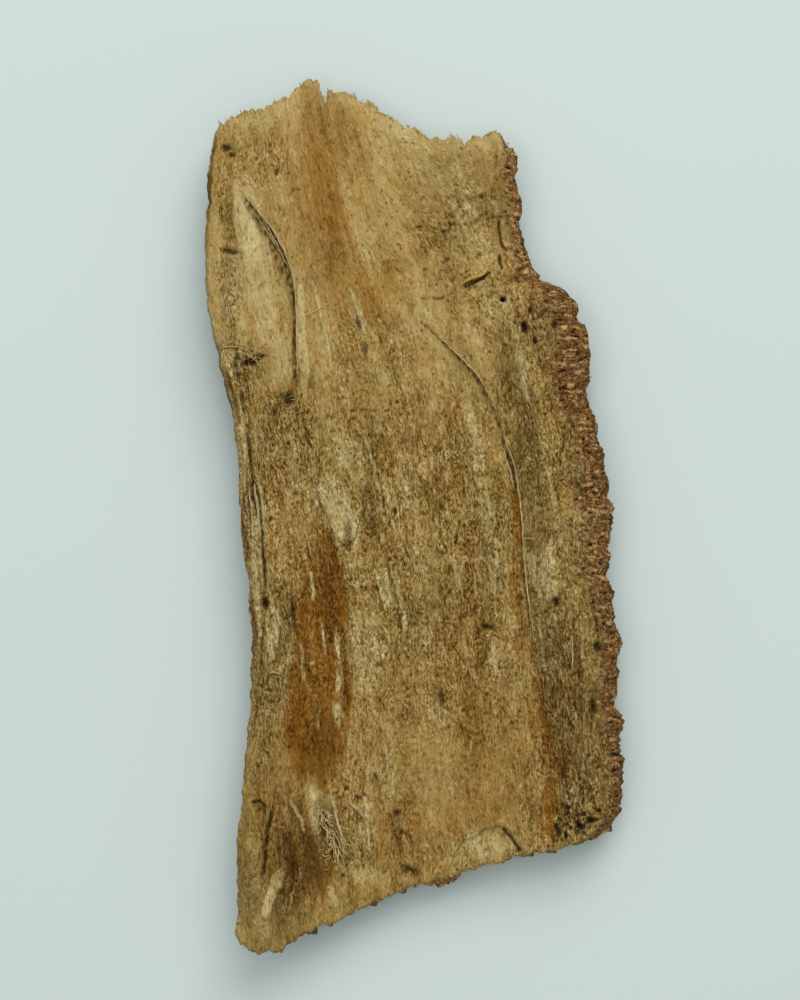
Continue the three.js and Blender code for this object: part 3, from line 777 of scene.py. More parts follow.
def underSheet():
    nu, nv = slab["cellsAcross"] // 2, slab["cellsAlong"] // 2
    u, v = np.meshgrid(np.linspace(0, 1, nu + 1), np.linspace(0, 1, nv + 1), indexing="ij")
    width, length = sideLengths(u, v)
    planU = (slab["leftUndercut"] + u * (width - slab["leftUndercut"] - 0.6)) / width
    planV = v * (1 - slab["frayedUndercut"] / length)
    x, y = planPoint(planU, planV)
    base = innerHeight(x, y, planV) - thicknessAt(planU, planV) - slab["restDepth"]
    thinning = 1 - frayedShare(planV)
    plates = furrow(x, y)
    toPlate = pores((x + 2 * swirl(x / 9, y / 9, seed=81)) / 9.5, y / 17, seed=9)[0]
    scale = 0.55 * smooth(0.50, 0.62, toPlate)  # cracks across the plates
    flake = layered(x / 3.4, y / 6, seed=82, times=4)
    outward = slab["furrowDepth"] * thinning * np.clip(plates + 0.35 * flake * plates, 0, 1.3)
    outward = outward + scale * thinning + 0.45 * np.abs(flake) + 0.25 * layered(x / 0.9, y / 1.5, seed=83)
    z = np.maximum(base + outward, restHeight + 0.03 + 0.10 * np.abs(swirl(x / 1.3, y / 1.9, seed=84)))
    zero = np.zeros(np.shape(x))
    deepPart = np.clip(plates * 1.2 + scale, 0, 1)
    # painted shade darkens the furrows and the cracks across the plates
    masks = {"stain": zero, "deep": zero, "pale": zero, "dull": zero, "cork": 0.75 * deepPart,
             "dirtAndShade": 0.55 * smooth(0.35, 1.1, plates + scale), "crust": 1 - 0.6 * deepPart,
             "grime": zero + 0.6, "level": zero + 0.5}
    return {"x": x, "y": y, "z": z, "u": planU, "v": planV, "masks": masks, "rim": np.stack([x, y, z], -1)}


def rim(grid):
    # a grid's border values, walked anticlockwise from its first corner
    return np.concatenate([grid[:, 0], grid[-1, 1:], grid[-2::-1, -1], grid[0, -2:0:-1]])


def gridFaces(index, flip=False):
    a, b, c, d = index[:-1, :-1], index[1:, :-1], index[1:, 1:], index[:-1, 1:]
    quad = np.stack([a, b, c, d], -1).reshape(-1, 4)
    return quad[:, ::-1] if flip else quad


def outwardOf(loop):
    # the sideways direction away from the slab at each point of its border, softened
    tangent = np.roll(loop, -3, axis=0) - np.roll(loop, 3, axis=0)
    outward = np.stack([tangent[:, 1], -tangent[:, 0]], -1)
    outward /= np.linalg.norm(outward, axis=1)[:, None]
    for turn in range(6):
        outward = 0.5 * outward + 0.25 * (np.roll(outward, 1, axis=0) + np.roll(outward, -1, axis=0))
    return outward


def sideWall(upper, lower, corkRim):
    # rings of points from the top sheet's border down to the under sheet's, torn and layered
    count = len(upper)
    offset = upper[:, :2] - np.stack(planPoint(upper[:, 3], upper[:, 4]), -1)
    outward = outwardOf(upper)
    atFrayed = smooth(0.985, 1.0, upper[:, 4])
    atLeft = smooth(0.02, 0.0, upper[:, 3])
    walk = np.r_[0, np.cumsum(np.linalg.norm(np.diff(upper[:, :2], axis=0), axis=1))]
    for ring in range(1, slab["wallRings"]):
        t = ring / slab["wallRings"]
        point = upper + (lower - upper) * t
        point[:, :2] = np.stack(planPoint(point[:, 3], point[:, 4]), -1) + offset * (1 - t)
        point = point[:, :3]
        strata = (swirl(walk / 9, point[:, 2] / 0.9, seed=91)
                  + 0.6 * swirl(walk / 2.2, point[:, 2] / 0.5, seed=92))
        lump = layered(walk / 2.4, point[:, 2] / 1.8, seed=93)
        middle = math.sin(math.pi * min(1, t * 1.1)) ** 0.6
        push = (0.5 * strata + 0.9 * lump - 0.45) * middle * (1 - 0.6 * atFrayed) + 0.35 * atLeft * middle
        red = np.zeros(count)
        dark = np.zeros(count)
        for cx, cy, half, reach, place, redness in slab["lumps"]:
            near = smooth(1.3, 0.5, np.hypot(upper[:, 0] - cx, upper[:, 1] - cy) / half + 0.8 * lump)
            near = near * math.exp(-((t - place) / 0.2) ** 2)
            push = push + reach * near * (1 + 0.5 * strata)
            red = np.maximum(red, redness * near)
            dark = np.maximum(dark, (1 - redness) * near)
        point[:, :2] += outward * push[:, None]
        point[:, 2] += atFrayed * (0.35 * lump - 0.4 * (1 - t))
        point[:, 2] = np.maximum(point[:, 2], restHeight + 0.05)
        # painted shade where the wall's layers and lumps sink in, less on the reddish lumps
        dirtAndShade = smooth(-0.05, -0.5, strata) * 0.8 + smooth(0.0, -0.5, lump) * 0.4
        masks = {
            "cork": np.clip(0.35 + 0.6 * t + 0.5 * strata - 0.45 * atFrayed + red, 0, 1),
            "dirtAndShade": np.clip(dirtAndShade - red, 0, 1),
            "pale": np.clip((0.5 - t) * 0.8 * (1 - corkRim), 0, 1),
            "crust": np.clip(0.75 * smooth(0.3, 0.8, t) + 0.85 * dark - red, 0, 1),
            "dull": np.full(count, 0.35),
            "grime": np.full(count, 0.7),
            "level": np.full(count, 0.4),
        }
        yield point, masks, np.stack([-point[:, 2], walk, point[:, 2]], -1)


def buildSkin():
    top, under = topSheet(), underSheet()
    topIndex = np.arange(top["x"].size).reshape(top["x"].shape)
    underIndex = np.arange(under["x"].size).reshape(under["x"].shape) + top["x"].size
    points = [np.stack([sheet[k].ravel() for k in "xyz"], -1) for sheet in (top, under)]
    rimPlaces = [sheet["rim"].reshape(-1, 3) for sheet in (top, under)]
    values = {name: [top["masks"][name].ravel(), under["masks"][name].ravel()] for name in top["masks"]}

    # the under sheet has half as many cells, so its border is doubled to match
    upper = np.stack([rim(top[k]) for k in "xyzuv"], -1)
    coarse = np.stack([rim(under[k]) for k in "xyzuv"], -1)
    lower = np.empty_like(upper)
    lower[0::2] = coarse
    lower[1::2] = 0.5 * (coarse + np.roll(coarse, -1, axis=0))
    rings = [rim(topIndex)]
    start = top["x"].size + under["x"].size
    for point, masks, place in sideWall(upper, lower, rim(top["masks"]["cork"])):
        points.append(point)
        rimPlaces.append(place)
        rings.append(start + np.arange(len(point)))
        start += len(point)
        for name, parts in values.items():
            parts.append(masks.get(name, np.zeros(len(point))))

    quads = [gridFaces(topIndex), gridFaces(underIndex, flip=True)]
    for near, far in zip(rings[:-1], rings[1:]):
        quads.append(np.stack([far, np.roll(far, -1), np.roll(near, -1), near], -1))
    # the last ring meets the coarser border, two steps to one
    fine, coarseRing = rings[-1], rim(underIndex)
    first, middle, third = fine[0::2], fine[1::2], np.roll(fine, -2)[0::2]
    after = np.roll(coarseRing, -1)
    quads.append(np.stack([coarseRing, after, middle, first], -1))
    triangles = np.stack([after, third, middle], -1)
    masks = {name: np.concatenate(parts) for name, parts in values.items()}
    return np.concatenate(points), np.concatenate(quads), triangles, masks, np.concatenate(rimPlaces)


def meshOf(name, points, quads, triangles):
    # a smooth-shaded mesh in metres, from points in millimetres
    mesh = bpy.data.meshes.new(name)
    mesh.vertices.add(len(points))
    mesh.vertices.foreach_set("co", (np.asarray(points) * toMetres).astype(np.float32).ravel())
    corners = np.concatenate([np.ravel(quads), np.ravel(triangles)]).astype(np.int32)
    mesh.loops.add(len(corners))
    mesh.loops.foreach_set("vertex_index", corners)
    sizes = np.r_[np.full(len(quads), 4), np.full(len(triangles), 3)].astype(np.int32)
    mesh.polygons.add(len(sizes))
    mesh.polygons.foreach_set("loop_start", np.r_[0, np.cumsum(sizes)[:-1]].astype(np.int32))
    mesh.update(calc_edges=True)
    mesh.validate()
    mesh.polygons.foreach_set("use_smooth", np.ones(len(mesh.polygons), bool))
    return mesh


def addAttribute(mesh, name, values):
    kind = "FLOAT_VECTOR" if np.ndim(values) == 2 else "FLOAT"
    layer = mesh.attributes.new(name, kind, "POINT")
    layer.data.foreach_set("vector" if kind == "FLOAT_VECTOR" else "value",
                           np.asarray(values, np.float32).ravel())


def addGrain(mesh, points):
    x, y, z = points.T
    addAttribute(mesh, "grain", np.stack([grainAcross(x, y), y, z], -1))


skinPoints, skinQuads, skinTriangles, skinMasks, skinRim = buildSkin()
skinMesh = meshOf("barkSkin", skinPoints, skinQuads, skinTriangles)
addGrain(skinMesh, skinPoints)
addAttribute(skinMesh, "rim", skinRim)
for maskName, maskValues in skinMasks.items():
    addAttribute(skinMesh, maskName, maskValues)
skin = bpy.data.objects.new("bark_skin", skinMesh)
bpy.context.scene.collection.objects.link(skin)
print("skin made:", len(skinMesh.vertices), "points,", len(skinMesh.polygons), "faces")


# Materials
def tint(red, green, blue):
    def linear(c):
        c /= 255
        return c / 12.92 if c <= 0.04045 else ((c + 0.055) / 1.055) ** 2.4
    return (linear(red), linear(green), linear(blue), 1)


class Bench:
    # a material's node tree, with short ways to add and join its nodes
    def __init__(self, name):
        self.material = bpy.data.materials.new(name)
        self.material.use_nodes = True
        self.tree = self.material.node_tree
        self.tree.nodes.clear()

    def add(self, kind, **settings):
        node = self.tree.nodes.new(kind)
        for key, value in settings.items():
            setattr(node, key, value)
        return node

    def put(self, value, socket):
        if isinstance(value, bpy.types.NodeSocket):
            self.tree.links.new(value, socket)
        else:
            socket.default_value = value

    def mask(self, name):
        return self.add("ShaderNodeAttribute", attribute_name=name).outputs["Fac"]

    def place(self, name):
        return self.add("ShaderNodeAttribute", attribute_name=name).outputs["Vector"]

    def swayed(self, vector, scale, reach):
        # moves each place a little, by a soft noise of its own
        soft = self.add("ShaderNodeTexNoise", noise_dimensions="3D")
        self.put(self.scaled(vector, scale), soft.inputs["Vector"])
        soft.inputs["Scale"].default_value = 1.0
        soft.inputs["Detail"].default_value = 2.0
        centred = self.add("ShaderNodeVectorMath", operation="SUBTRACT")
        self.put(soft.outputs["Color"], centred.inputs[0])
        centred.inputs[1].default_value = (0.5, 0.5, 0.5)
        moved = self.add("ShaderNodeVectorMath", operation="MULTIPLY_ADD")
        self.put(centred.outputs[0], moved.inputs[0])
        moved.inputs[1].default_value = [2 * r for r in reach]
        self.put(vector, moved.inputs[2])
        return moved.outputs[0]

    def scaled(self, vector, scale):
        node = self.add("ShaderNodeVectorMath", operation="MULTIPLY")
        self.put(vector, node.inputs[0])
        node.inputs[1].default_value = scale
        return node.outputs[0]

    def noise(self, vector, scale=1.0, detail=3.0, roughness=0.55):
        node = self.add("ShaderNodeTexNoise", noise_dimensions="3D")
        self.put(vector, node.inputs["Vector"])
        for name, value in (("Scale", scale), ("Detail", detail), ("Roughness", roughness)):
            node.inputs[name].default_value = value
        return node.outputs["Fac"]

    def cells(self, vector):
        # distance to the nearest scattered point, and that point's own colour
        node = self.add("ShaderNodeTexVoronoi", feature="F1")
        self.put(vector, node.inputs["Vector"])
        node.inputs["Scale"].default_value = 1.0
        return node.outputs["Distance"], node.outputs["Color"]

    def ramp(self, value, stops):
        node = self.add("ShaderNodeValToRGB")
        self.put(value, node.inputs[0])
        band = node.color_ramp
        while len(band.elements) < len(stops):
            band.elements.new(0.5)
        for element, (place, colour) in zip(band.elements, stops):
            element.position = place
            element.color = colour if isinstance(colour, tuple) else (colour, colour, colour, 1)
        return node.outputs["Color"]

    def lines(self, field, width):
        # thin lines where a soft field crosses its middle value
        away = self.math("ABSOLUTE", self.math("SUBTRACT", field, 0.5))
        return self.ramp(away, [(0.2 * width, 1.0), (width, 0.0)])

    def math(self, operation, a, b=0.0, c=None):
        node = self.add("ShaderNodeMath", operation=operation)
        self.put(a, node.inputs[0])
        self.put(b, node.inputs[1])
        if c is not None:
            self.put(c, node.inputs[2])
        return node.outputs[0]

    def mix(self, share, a, b, blend="MIX"):
        node = self.add("ShaderNodeMix", data_type="RGBA", blend_type=blend)
        self.put(share, node.inputs[0])
        self.put(a, node.inputs[6])
        self.put(b, node.inputs[7])
        return node.outputs[2]

    def bump(self, height, strength, distance, normal=None):
        node = self.add("ShaderNodeBump")
        node.inputs["Strength"].default_value = strength
        node.inputs["Distance"].default_value = distance
        self.put(height, node.inputs["Height"])
        if normal is not None:
            self.put(normal, node.inputs["Normal"])
        return node.outputs[0]

    def finish(self, colour, roughness, normal, specular=0.25):
        shader = self.add("ShaderNodeBsdfPrincipled")
        shader.inputs["Specular IOR Level"].default_value = specular
        self.put(colour, shader.inputs["Base Color"])
        self.put(roughness, shader.inputs["Roughness"])
        self.put(normal, shader.inputs["Normal"])
        out = self.add("ShaderNodeOutputMaterial")
        self.tree.links.new(shader.outputs[0], out.inputs[0])
        return self.material


# Tones of the bast from its hollows to its raised fibres, the fibres' own streaky tone with painted shade
# darkening the hollows, and tints of the smaller marks
barkTones = {
    "bast": ((90, 58, 9), (144, 112, 50), (182, 150, 84), (204, 176, 112), (232, 212, 160)),
    "warm": ((94, 56, 7), (148, 109, 45), (186, 144, 75), (210, 172, 103), (232, 206, 148)),
    "dull": ((72, 46, 8), (110, 83, 30), (140, 112, 57), (164, 136, 82), (202, 178, 126)),
    "pale": ((132, 104, 48), (184, 156, 92), (216, 190, 126), (232, 213, 158), (246, 234, 192)),
    "stain": ((84, 46, 4), (127, 80, 19), (154, 104, 35), (177, 127, 52), (205, 161, 92)),
    "deep": ((48, 24, 2), (80, 49, 10), (106, 72, 22), (132, 96, 40), (166, 130, 70)),
    "tornBast": ((92, 62, 30), (138, 102, 54), (176, 138, 80), (200, 165, 104), (224, 195, 136)),
}
barkMarks = {
    # painted shade in the grooves of the rim's folds
    "rimGrooveShade": tint(56, 30, 12),
    "curlShade": tint(160, 134, 86),
    "thread": tint(226, 204, 142),
    "split": tint(66, 38, 7),
    "pore": tint(62, 36, 6),
    "speck": tint(64, 37, 7),
    # painted shade in the hollows, cracks and gaps, with some dirt
    "dirtAndShade": tint(44, 22, 3),
}
corkTones = [(0.38, tint(112, 64, 28)), (0.46, tint(170, 114, 60)), (0.53, tint(206, 150, 88)),
             (0.62, tint(238, 194, 128))]
crustTones = [(0.36, tint(48, 38, 26)), (0.50, tint(92, 78, 58)), (0.64, tint(138, 124, 100))]


def barkMaterial(name):
    b = Bench(name)
    grain = b.place("grain")
    rimPlace = b.place("rim")
    bent = b.swayed(grain, (0.42, 0.16, 0.4), (1.5, 2.6, 0))
    fibre = b.noise(b.scaled(bent, (2.2, 0.32, 1.2)), detail=4.0, roughness=0.68)
    fine = b.noise(b.scaled(bent, (3.0, 1.1, 2.0)), detail=1.5, roughness=0.6)
    speck = b.noise(b.scaled(grain, (2.3, 1.7, 1.8)), detail=3.0, roughness=0.8)
    mottle = b.noise(b.scaled(bent, (0.17, 0.10, 0.2)), detail=5.0, roughness=0.62)
    cloud = b.noise(b.scaled(bent, (0.42, 0.24, 0.3)), detail=4.0, roughness=0.6)
    curlPlace = b.swayed(grain, (0.9, 0.9, 0.9), (1.3, 1.3, 0))
    curl = b.lines(b.noise(curlPlace, scale=1.15, detail=2.0, roughness=0.6), 0.034)
    poreNear, poreOwn = b.cells(b.scaled(bent, (1.7, 1.05, 0.7)))
    poreShape = b.ramp(poreNear, [(0.12, 1.0), (0.20, 0.0)])
    split = b.lines(b.noise(b.scaled(bent, (0.75, 0.12, 0.5)), detail=2.0, roughness=0.55), 0.016)
    thread = b.lines(b.noise(b.scaled(bent, (0.95, 0.11, 0.9)), detail=2.0, roughness=0.5), 0.014)
    pore = b.math("MULTIPLY", poreShape, b.ramp(poreOwn, [(0.50, 0.0), (0.58, 1.0)]))
    loneSpeck = b.math("MULTIPLY", poreShape, b.ramp(poreOwn, [(0.70, 0.0), (0.74, 1.0)]))
    grime = b.mask("grime")
    grit = b.noise(b.scaled(b.swayed(grain, (0.5, 0.35, 1.0), (1.6, 1.2, 0)), (3.1, 1.15, 2.0)), detail=0.5)
    blend = b.math("ADD", b.math("MULTIPLY", fibre, 0.30), b.math("MULTIPLY", fine, 0.28))
    blend = b.math("ADD", blend, b.math("MULTIPLY", speck, 0.14))
    blend = b.math("ADD", blend, b.math("MULTIPLY", grit, 0.28))
    # clean places are calm, grimy ones are rough and darker
    reach = b.math("MULTIPLY_ADD", grime, 0.80, 0.33)
    blend = b.math("MULTIPLY_ADD", b.math("SUBTRACT", blend, 0.5), reach, 0.5)
    blend = b.math("SUBTRACT", blend, b.math("MULTIPLY", grime, 0.010))
    # higher sheets are a little paler than the ones they were torn from
    blend = b.math("ADD", blend, b.math("MULTIPLY", b.math("SUBTRACT", b.mask("level"), 0.5), 0.085))
    blend = b.math("ADD", blend, b.math("MULTIPLY", b.math("SUBTRACT", cloud, 0.5), 0.12))

    def tones(look):
        places = np.linspace(0.40, 0.60, len(barkTones[look]))
        return b.ramp(blend, [(p, tint(*c)) for p, c in zip(places, barkTones[look])])

    colour = b.mix(b.ramp(mottle, [(0.42, 0.0), (0.60, 0.8)]), tones("bast"), tones("warm"))
    for area in ("dull", "stain", "pale", "deep"):
        colour = b.mix(b.mask(area), colour, tones(area))

    # the torn outer bark: short wriggly folds with painted shade in the grooves between them
    foldField = b.noise(b.swayed(rimPlace, (0.5, 0.8, 0.6), (0.7, 0.7, 0)), scale=1.0, detail=0.0)
    foldPlace = b.swayed(rimPlace, (0.7, 0.7, 0.7), (1.4, 0.9, 0))
    fold = b.noise(b.scaled(foldPlace, (0.55, 1.5, 1.0)), detail=1.0, roughness=0.5)
    groove = b.lines(fold, 0.055)
    corkBlend = b.math("ADD", b.math("MULTIPLY", speck, 0.45), b.math("MULTIPLY", fold, 0.55))
    corkTint = b.ramp(corkBlend, corkTones)
    corkTint = b.mix(b.ramp(foldField, [(0.45, 0.0), (0.6, 0.5)]), corkTint, tones("tornBast"))
    corkTint = b.mix(b.math("MULTIPLY", groove, 0.82), corkTint, barkMarks["rimGrooveShade"])
    colour = b.mix(b.mask("cork"), colour, corkTint)
    colour = b.mix(b.mask("crust"), colour, b.ramp(speck, crustTones))

    # curled fibre lines, specks, and dirt with painted shade in the hollows
    shaded = b.mix(1.0, colour, barkMarks["curlShade"], "MULTIPLY")
    clear = b.math("MULTIPLY_ADD", b.mask("stain"), -0.45, 0.45)
    inGrime = b.math("MULTIPLY_ADD", grime, 0.7, 0.12)
    colour = b.mix(b.math("MULTIPLY", curl, b.math("MULTIPLY_ADD", grime, 0.6, 0.25)), colour, shaded)
    for mark, shape, share in (("thread", thread, clear), ("split", split, inGrime),
                               ("pore", pore, b.math("MULTIPLY", grime, 0.85)),
                               ("speck", loneSpeck, 0.6), ("dirtAndShade", b.mask("dirtAndShade"), 0.93)):
        colour = b.mix(b.math("MULTIPLY", shape, share), colour, barkMarks[mark])
    roughness = b.ramp(blend, [(0.38, 0.95), (0.62, 0.74)])
    relief = b.math("ADD", b.math("MULTIPLY", fine, 0.7), b.math("MULTIPLY", fibre, 0.8))
    relief = b.math("SUBTRACT", relief, b.math("MULTIPLY", pore, 0.3))
    relief = b.math("SUBTRACT", relief, b.math("MULTIPLY", b.math("ADD", curl, split), 0.12))
    folded = b.math("MULTIPLY", b.math("MULTIPLY", groove, 0.5), b.mask("cork"))
    relief = b.math("MULTIPLY", b.math("SUBTRACT", relief, folded), reach)
    normal = b.bump(relief, 0.75, 0.0005)
    normal = b.bump(speck, 0.35, 0.0004, normal)
    return b.finish(colour, roughness, normal, 0.12)


barkLook = barkMaterial("dry_bark")
skinMesh.materials.append(barkLook)
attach(skin, "root")
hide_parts("bark")
print("bark material made")


# Strands, hairs and slivers
topCount = (slab["cellsAcross"] + 1) * (slab["cellsAlong"] + 1)
facePoints = skinPoints[:topCount]


def nearestOnFace(x, y):
    return np.argmin((facePoints[:, 0] - x) ** 2 + (facePoints[:, 1] - y) ** 2)


def onFace(x, y):
    return facePoints[nearestOnFace(x, y), 2]


def smoothRoute(points, count):
    pts = np.array(points, float)
    at = np.r_[0, np.cumsum(np.linalg.norm(np.diff(pts, axis=0), axis=1))]
    share = np.linspace(0, at[-1], count)
    route = np.stack([np.interp(share, at, pts[:, k]) for k in range(pts.shape[1])], -1)
    for turn in range(2):
        route[1:-1] = 0.5 * route[1:-1] + 0.25 * (route[:-2] + route[2:])
    return route


def tube(route, wide, thick, sides=6, taper=0.25):
    # an oval tube along a route, tapering at both ends, closed by its last points
    route = np.asarray(route, float)
    count = len(route)
    ahead = np.gradient(route, axis=0)
    ahead /= np.linalg.norm(ahead, axis=1)[:, None] + 1e-9
    across = np.cross(ahead, (0, 0, 1))
    across /= np.linalg.norm(across, axis=1)[:, None] + 1e-9
    over = np.cross(across, ahead)
    t = np.linspace(0, 1, count)
    swell = np.clip(np.minimum(t, 1 - t) / taper, 0.12, 1) ** 0.6
    turns = np.arange(sides) / sides * 2 * math.pi
    ring = (route[:, None, :]
            + across[:, None, :] * (np.cos(turns)[None, :, None] * (wide * swell)[:, None, None])
            + over[:, None, :] * (np.sin(turns)[None, :, None] * (thick * swell)[:, None, None]))
    points = ring.reshape(-1, 3)
    index = np.arange(count * sides).reshape(count, sides)
    a, d = index[:-1], index[1:]
    quads = np.stack([a, np.roll(a, -1, 1), np.roll(d, -1, 1), d], -1).reshape(-1, 4)
    caps = []
    for end, order in ((index[0], -1), (index[-1], 1)):
        loop = end[::order]
        caps += [(loop[0], loop[k], loop[k + 1]) for k in range(1, sides - 1)]
    return points, quads, np.array(caps)


def joined(name, parts, look):
    # all the tubes of one set as one piece
    points, quads, triangles, start = [], [], [], 0
    for p, q, t in parts:
        points.append(p)
        quads.append(q + start)
        triangles.append(t + start)
        start += len(p)
    points = np.concatenate(points)
    mesh = meshOf(name, points, np.concatenate(quads), np.concatenate(triangles))
    addGrain(mesh, points)
    mesh.materials.append(look)
    piece = bpy.data.objects.new(name, mesh)
    bpy.context.scene.collection.objects.link(piece)
    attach(piece, "root")


def strandMaterial(name, dark, light):
    b = Bench(name)
    streak = b.noise(b.scaled(b.place("grain"), (3.2, 0.7, 2.0)), detail=4.0, roughness=0.65)
    colour = b.ramp(streak, [(0.32, dark), (0.66, light)])
    return b.finish(colour, b.ramp(streak, [(0.3, 0.9), (0.7, 0.65)]), b.bump(streak, 0.6, 0.0002))


paleStrand = strandMaterial("pale_bast", tint(150, 121, 64), tint(228, 205, 146))
fibreLook = strandMaterial("loose_bast", tint(150, 116, 54), tint(220, 188, 118))
tuftLook = strandMaterial("tuft_bast", tint(176, 142, 76), tint(244, 220, 156))
goldStrand = strandMaterial("golden_bast", tint(170, 128, 52), tint(232, 192, 104))

# Each strand: route in x and y, half width, half thickness, lift above the face
strands = {
    "pale": [
        ([(-23.3, 27.0), (-23.4, 33.0), (-23.4, 40.0), (-23.6, 44.0), (-24.2, 48.4), (-25.6, 52.4),
          (-27.2, 55.8), (-29.2, 58.6), (-31.0, 60.6), (-32.8, 62.8), (-34.8, 65.2)], 0.24, 0.14, 0.16),
        ([(-24.6, 48.6), (-26.0, 51.4), (-27.6, 54.6), (-28.8, 57.0), (-30.0, 59.0)], 0.15, 0.12, 0.45),
        ([(-27.0, 53.0), (-28.6, 55.6), (-30.0, 57.6), (-31.6, 60.2)], 0.12, 0.1, 0.3),
        ([(-22.2, 40.0), (-20.8, 40.4), (-19.2, 41.3), (-17.2, 42.3)], 0.17, 0.13, 0.14),
        ([(24.0, -25.0), (23.2, -19.6), (22.4, -13.6), (21.9, -7.4), (21.5, 0.0), (20.9, 5.0),
          (20.2, 9.6), (19.2, 12.6), (18.2, 15.2), (17.7, 18.6)], 0.15, 0.12, 0.12),
        ([(16.9, 20.4), (15.3, 23.8), (13.3, 27.6), (10.4, 30.8), (7.0, 34.1), (3.6, 37.2)],
          0.16, 0.12, 0.12),
        ([(17.4, 14.6), (18.2, 12.0), (19.2, 9.0), (20.0, 5.0)], 0.12, 0.1, 0.12),
        ([(21.6, -4.6), (22.8, -4.4), (24.2, -4.7)], 0.1, 0.08, 0.08),
        ([(-38.4, 33.5), (-36.0, 33.6), (-33.6, 33.2), (-31.8, 32.2)], 0.1, 0.08, 0.3),
        ([(-37.0, 32.2), (-34.4, 32.6), (-31.6, 31.0), (-30.4, 29.4)], 0.08, 0.07, 0.35),
        ([(-31.9, 7.4), (-31.3, 3.0), (-30.8, -1.2), (-30.4, -5.0)], 0.2, 0.16, 0.1),
        ([(-32.9, 5.4), (-32.4, 2.0), (-31.9, -2.4)], 0.16, 0.14, 0.1),
        ([(-16.7, -54.6), (-15.9, -58.4), (-14.9, -62.0), (-14.1, -65.4), (-13.9, -68.6)],
          0.26, 0.2, 0.2),
        ([(31.2, -22.6), (31.6, -26.4), (31.4, -31.4)], 0.14, 0.12, 0.08),
        ([(-28.8, -31.4), (-28.0, -31.0), (-26.8, -31.4)], 0.14, 0.12, 0.12),
        ([(7.8, 24.6), (9.4, 24.2), (10.6, 23.4)], 0.08, 0.07, 0.08),
        ([(-5.6, 8.2), (-4.0, 4.6), (-3.0, 0.0), (-2.8, -5.0)], 0.14, 0.1, 0.04),
    ],
    "golden": [
        ([(9.6, 46.6), (11.6, 47.7), (13.6, 48.2), (15.0, 49.8)], 0.34, 0.24, 0.42),
    ],
}


def strandParts(rows):
    parts = []
    for route, wide, thick, lift in rows:
        flat = smoothRoute(route, max(8, int(len(route) * 5)))
        heights = np.array([onFace(px, py) for px, py in flat])
        heights = np.convolve(np.pad(heights, 2, mode="edge"), np.ones(5) / 5, mode="valid")
        t = np.linspace(0, 1, len(flat))
        rise = lift * np.clip(np.minimum(t, 1 - t) * 6, 0, 1)
        route3 = np.column_stack([flat, heights + rise])
        route3[:, :2] += 0.05 * dice.normal(size=(len(flat), 2))
        parts.append(tube(route3, wide, thick))
    return parts


joined("peel_strands", strandParts(strands["pale"]), paleStrand)
joined("golden_strand", strandParts(strands["golden"]), goldStrand)


def hair(x, y, angle, length, radius, curl, lift, droop=0.0):
    # one loose fibre that starts on the face and leans away from it
    steps = 7
    t = np.linspace(0, 1, steps)
    turn = angle + curl * t
    px = x + np.cumsum(np.cos(turn)) * length / steps
    py = y + np.cumsum(np.sin(turn)) * length / steps
    pz = onFace(x, y) + 0.02 + lift * np.sin(t * math.pi * 0.6) - droop * t * t
    return tube(np.column_stack([px, py, pz]), radius, radius * 0.8, sides=4, taper=0.35)


# How many fibres lie or stand where
fibres = {
    "frayedEnd": 90,
    "brokenEnd": 70,
    "innerFace": 320,
    "stainLimit": 0.4,  # none lie where the stain is stronger than this
    "fanLean": 0.32,  # degrees for each millimetre
}


def looseFibres():
    # a curl at the tip, and short hairs that stick out past both ends
    parts = [hair(-21.4, 86.0, math.radians(120), 2.2, 0.07, 1.6, 0.5)]
    for k in range(fibres["frayedEnd"]):
        x, y = frayedAt(dice.random())
        lean = math.radians(90 + dice.normal(8, 34))
        x += dice.normal(0, 0.2)
        length, radius = dice.uniform(0.5, 1.1), dice.uniform(0.05, 0.12)
        parts.append(hair(x, y - 0.6, lean, length, radius, dice.normal(0, 0.6), 0.15, 0.3))
    for k in range(fibres["brokenEnd"]):
        x, y = brokenAt(dice.random())
        lean = math.radians(-90 + dice.normal(0, 30))
        length, radius = dice.uniform(0.6, 1.4), dice.uniform(0.04, 0.09)
        parts.append(hair(x, y + 0.6, lean, length, radius, dice.normal(0, 0.6), 0.1, 0.5))
    # fibres that lie on the inner face along its grain
    for k in range(fibres["innerFace"]):
        x, y = planPoint(dice.uniform(0.04, 0.86), dice.uniform(0.02, 0.97))
        if skinMasks["stain"][nearestOnFace(x, y)] > fibres["stainLimit"]:
            continue
        fanned = fibres["fanLean"] * max(0, y - grainRun["fanFrom"]) * fanShare(x)
        lean = math.radians(97 + fanned + dice.normal(0, 7))
        length, radius = dice.uniform(0.8, 3.2), dice.uniform(0.035, 0.07)
        parts.append(hair(x, y, lean, length, radius, dice.normal(0, 0.3), 0.05))
    return parts


joined("loose_fibres", looseFibres(), fibreLook)


# The tangle of split fibres near the lower left, and frizz at its foot and at two torn places
tuft = {
    "topY": -56.6,
    "runY": -11.4,
    "bundles": [
        # how many, from and to along the run, x at the top, x run, spread in y, lean, its spread,
        # lengths, radii, curl, lifts
        (46, (0, 0.8), -18.9, 4.4, 0.6, -70, 12, (2.0, 4.6), (0.07, 0.14), 0.6, (0.5, 1.1)),
        (80, (0.1, 1), -19.3, 4.2, 0.8, -74, 40, (0.7, 1.8), (0.06, 0.11), 1.9, (0.4, 1.1)),
    ],
    "frizz": [
        # how many, x, its spread, y, its spread, leans, lengths, radius, curl, lift
        (14, -17.6, 0.5, -67.6, 0.8, (190, 330), (0.8, 1.8), 0.07, 1.8, 0.5),
        (26, -32.0, 1.6, 31.2, 0.7, (-40, 30), (1.0, 2.6), 0.045, 0.9, 0.35),
        (12, -25.0, 0.9, 22.6, 1.2, (-90, 60), (0.8, 1.8), 0.045, 0.9, 0.3),
    ],
}


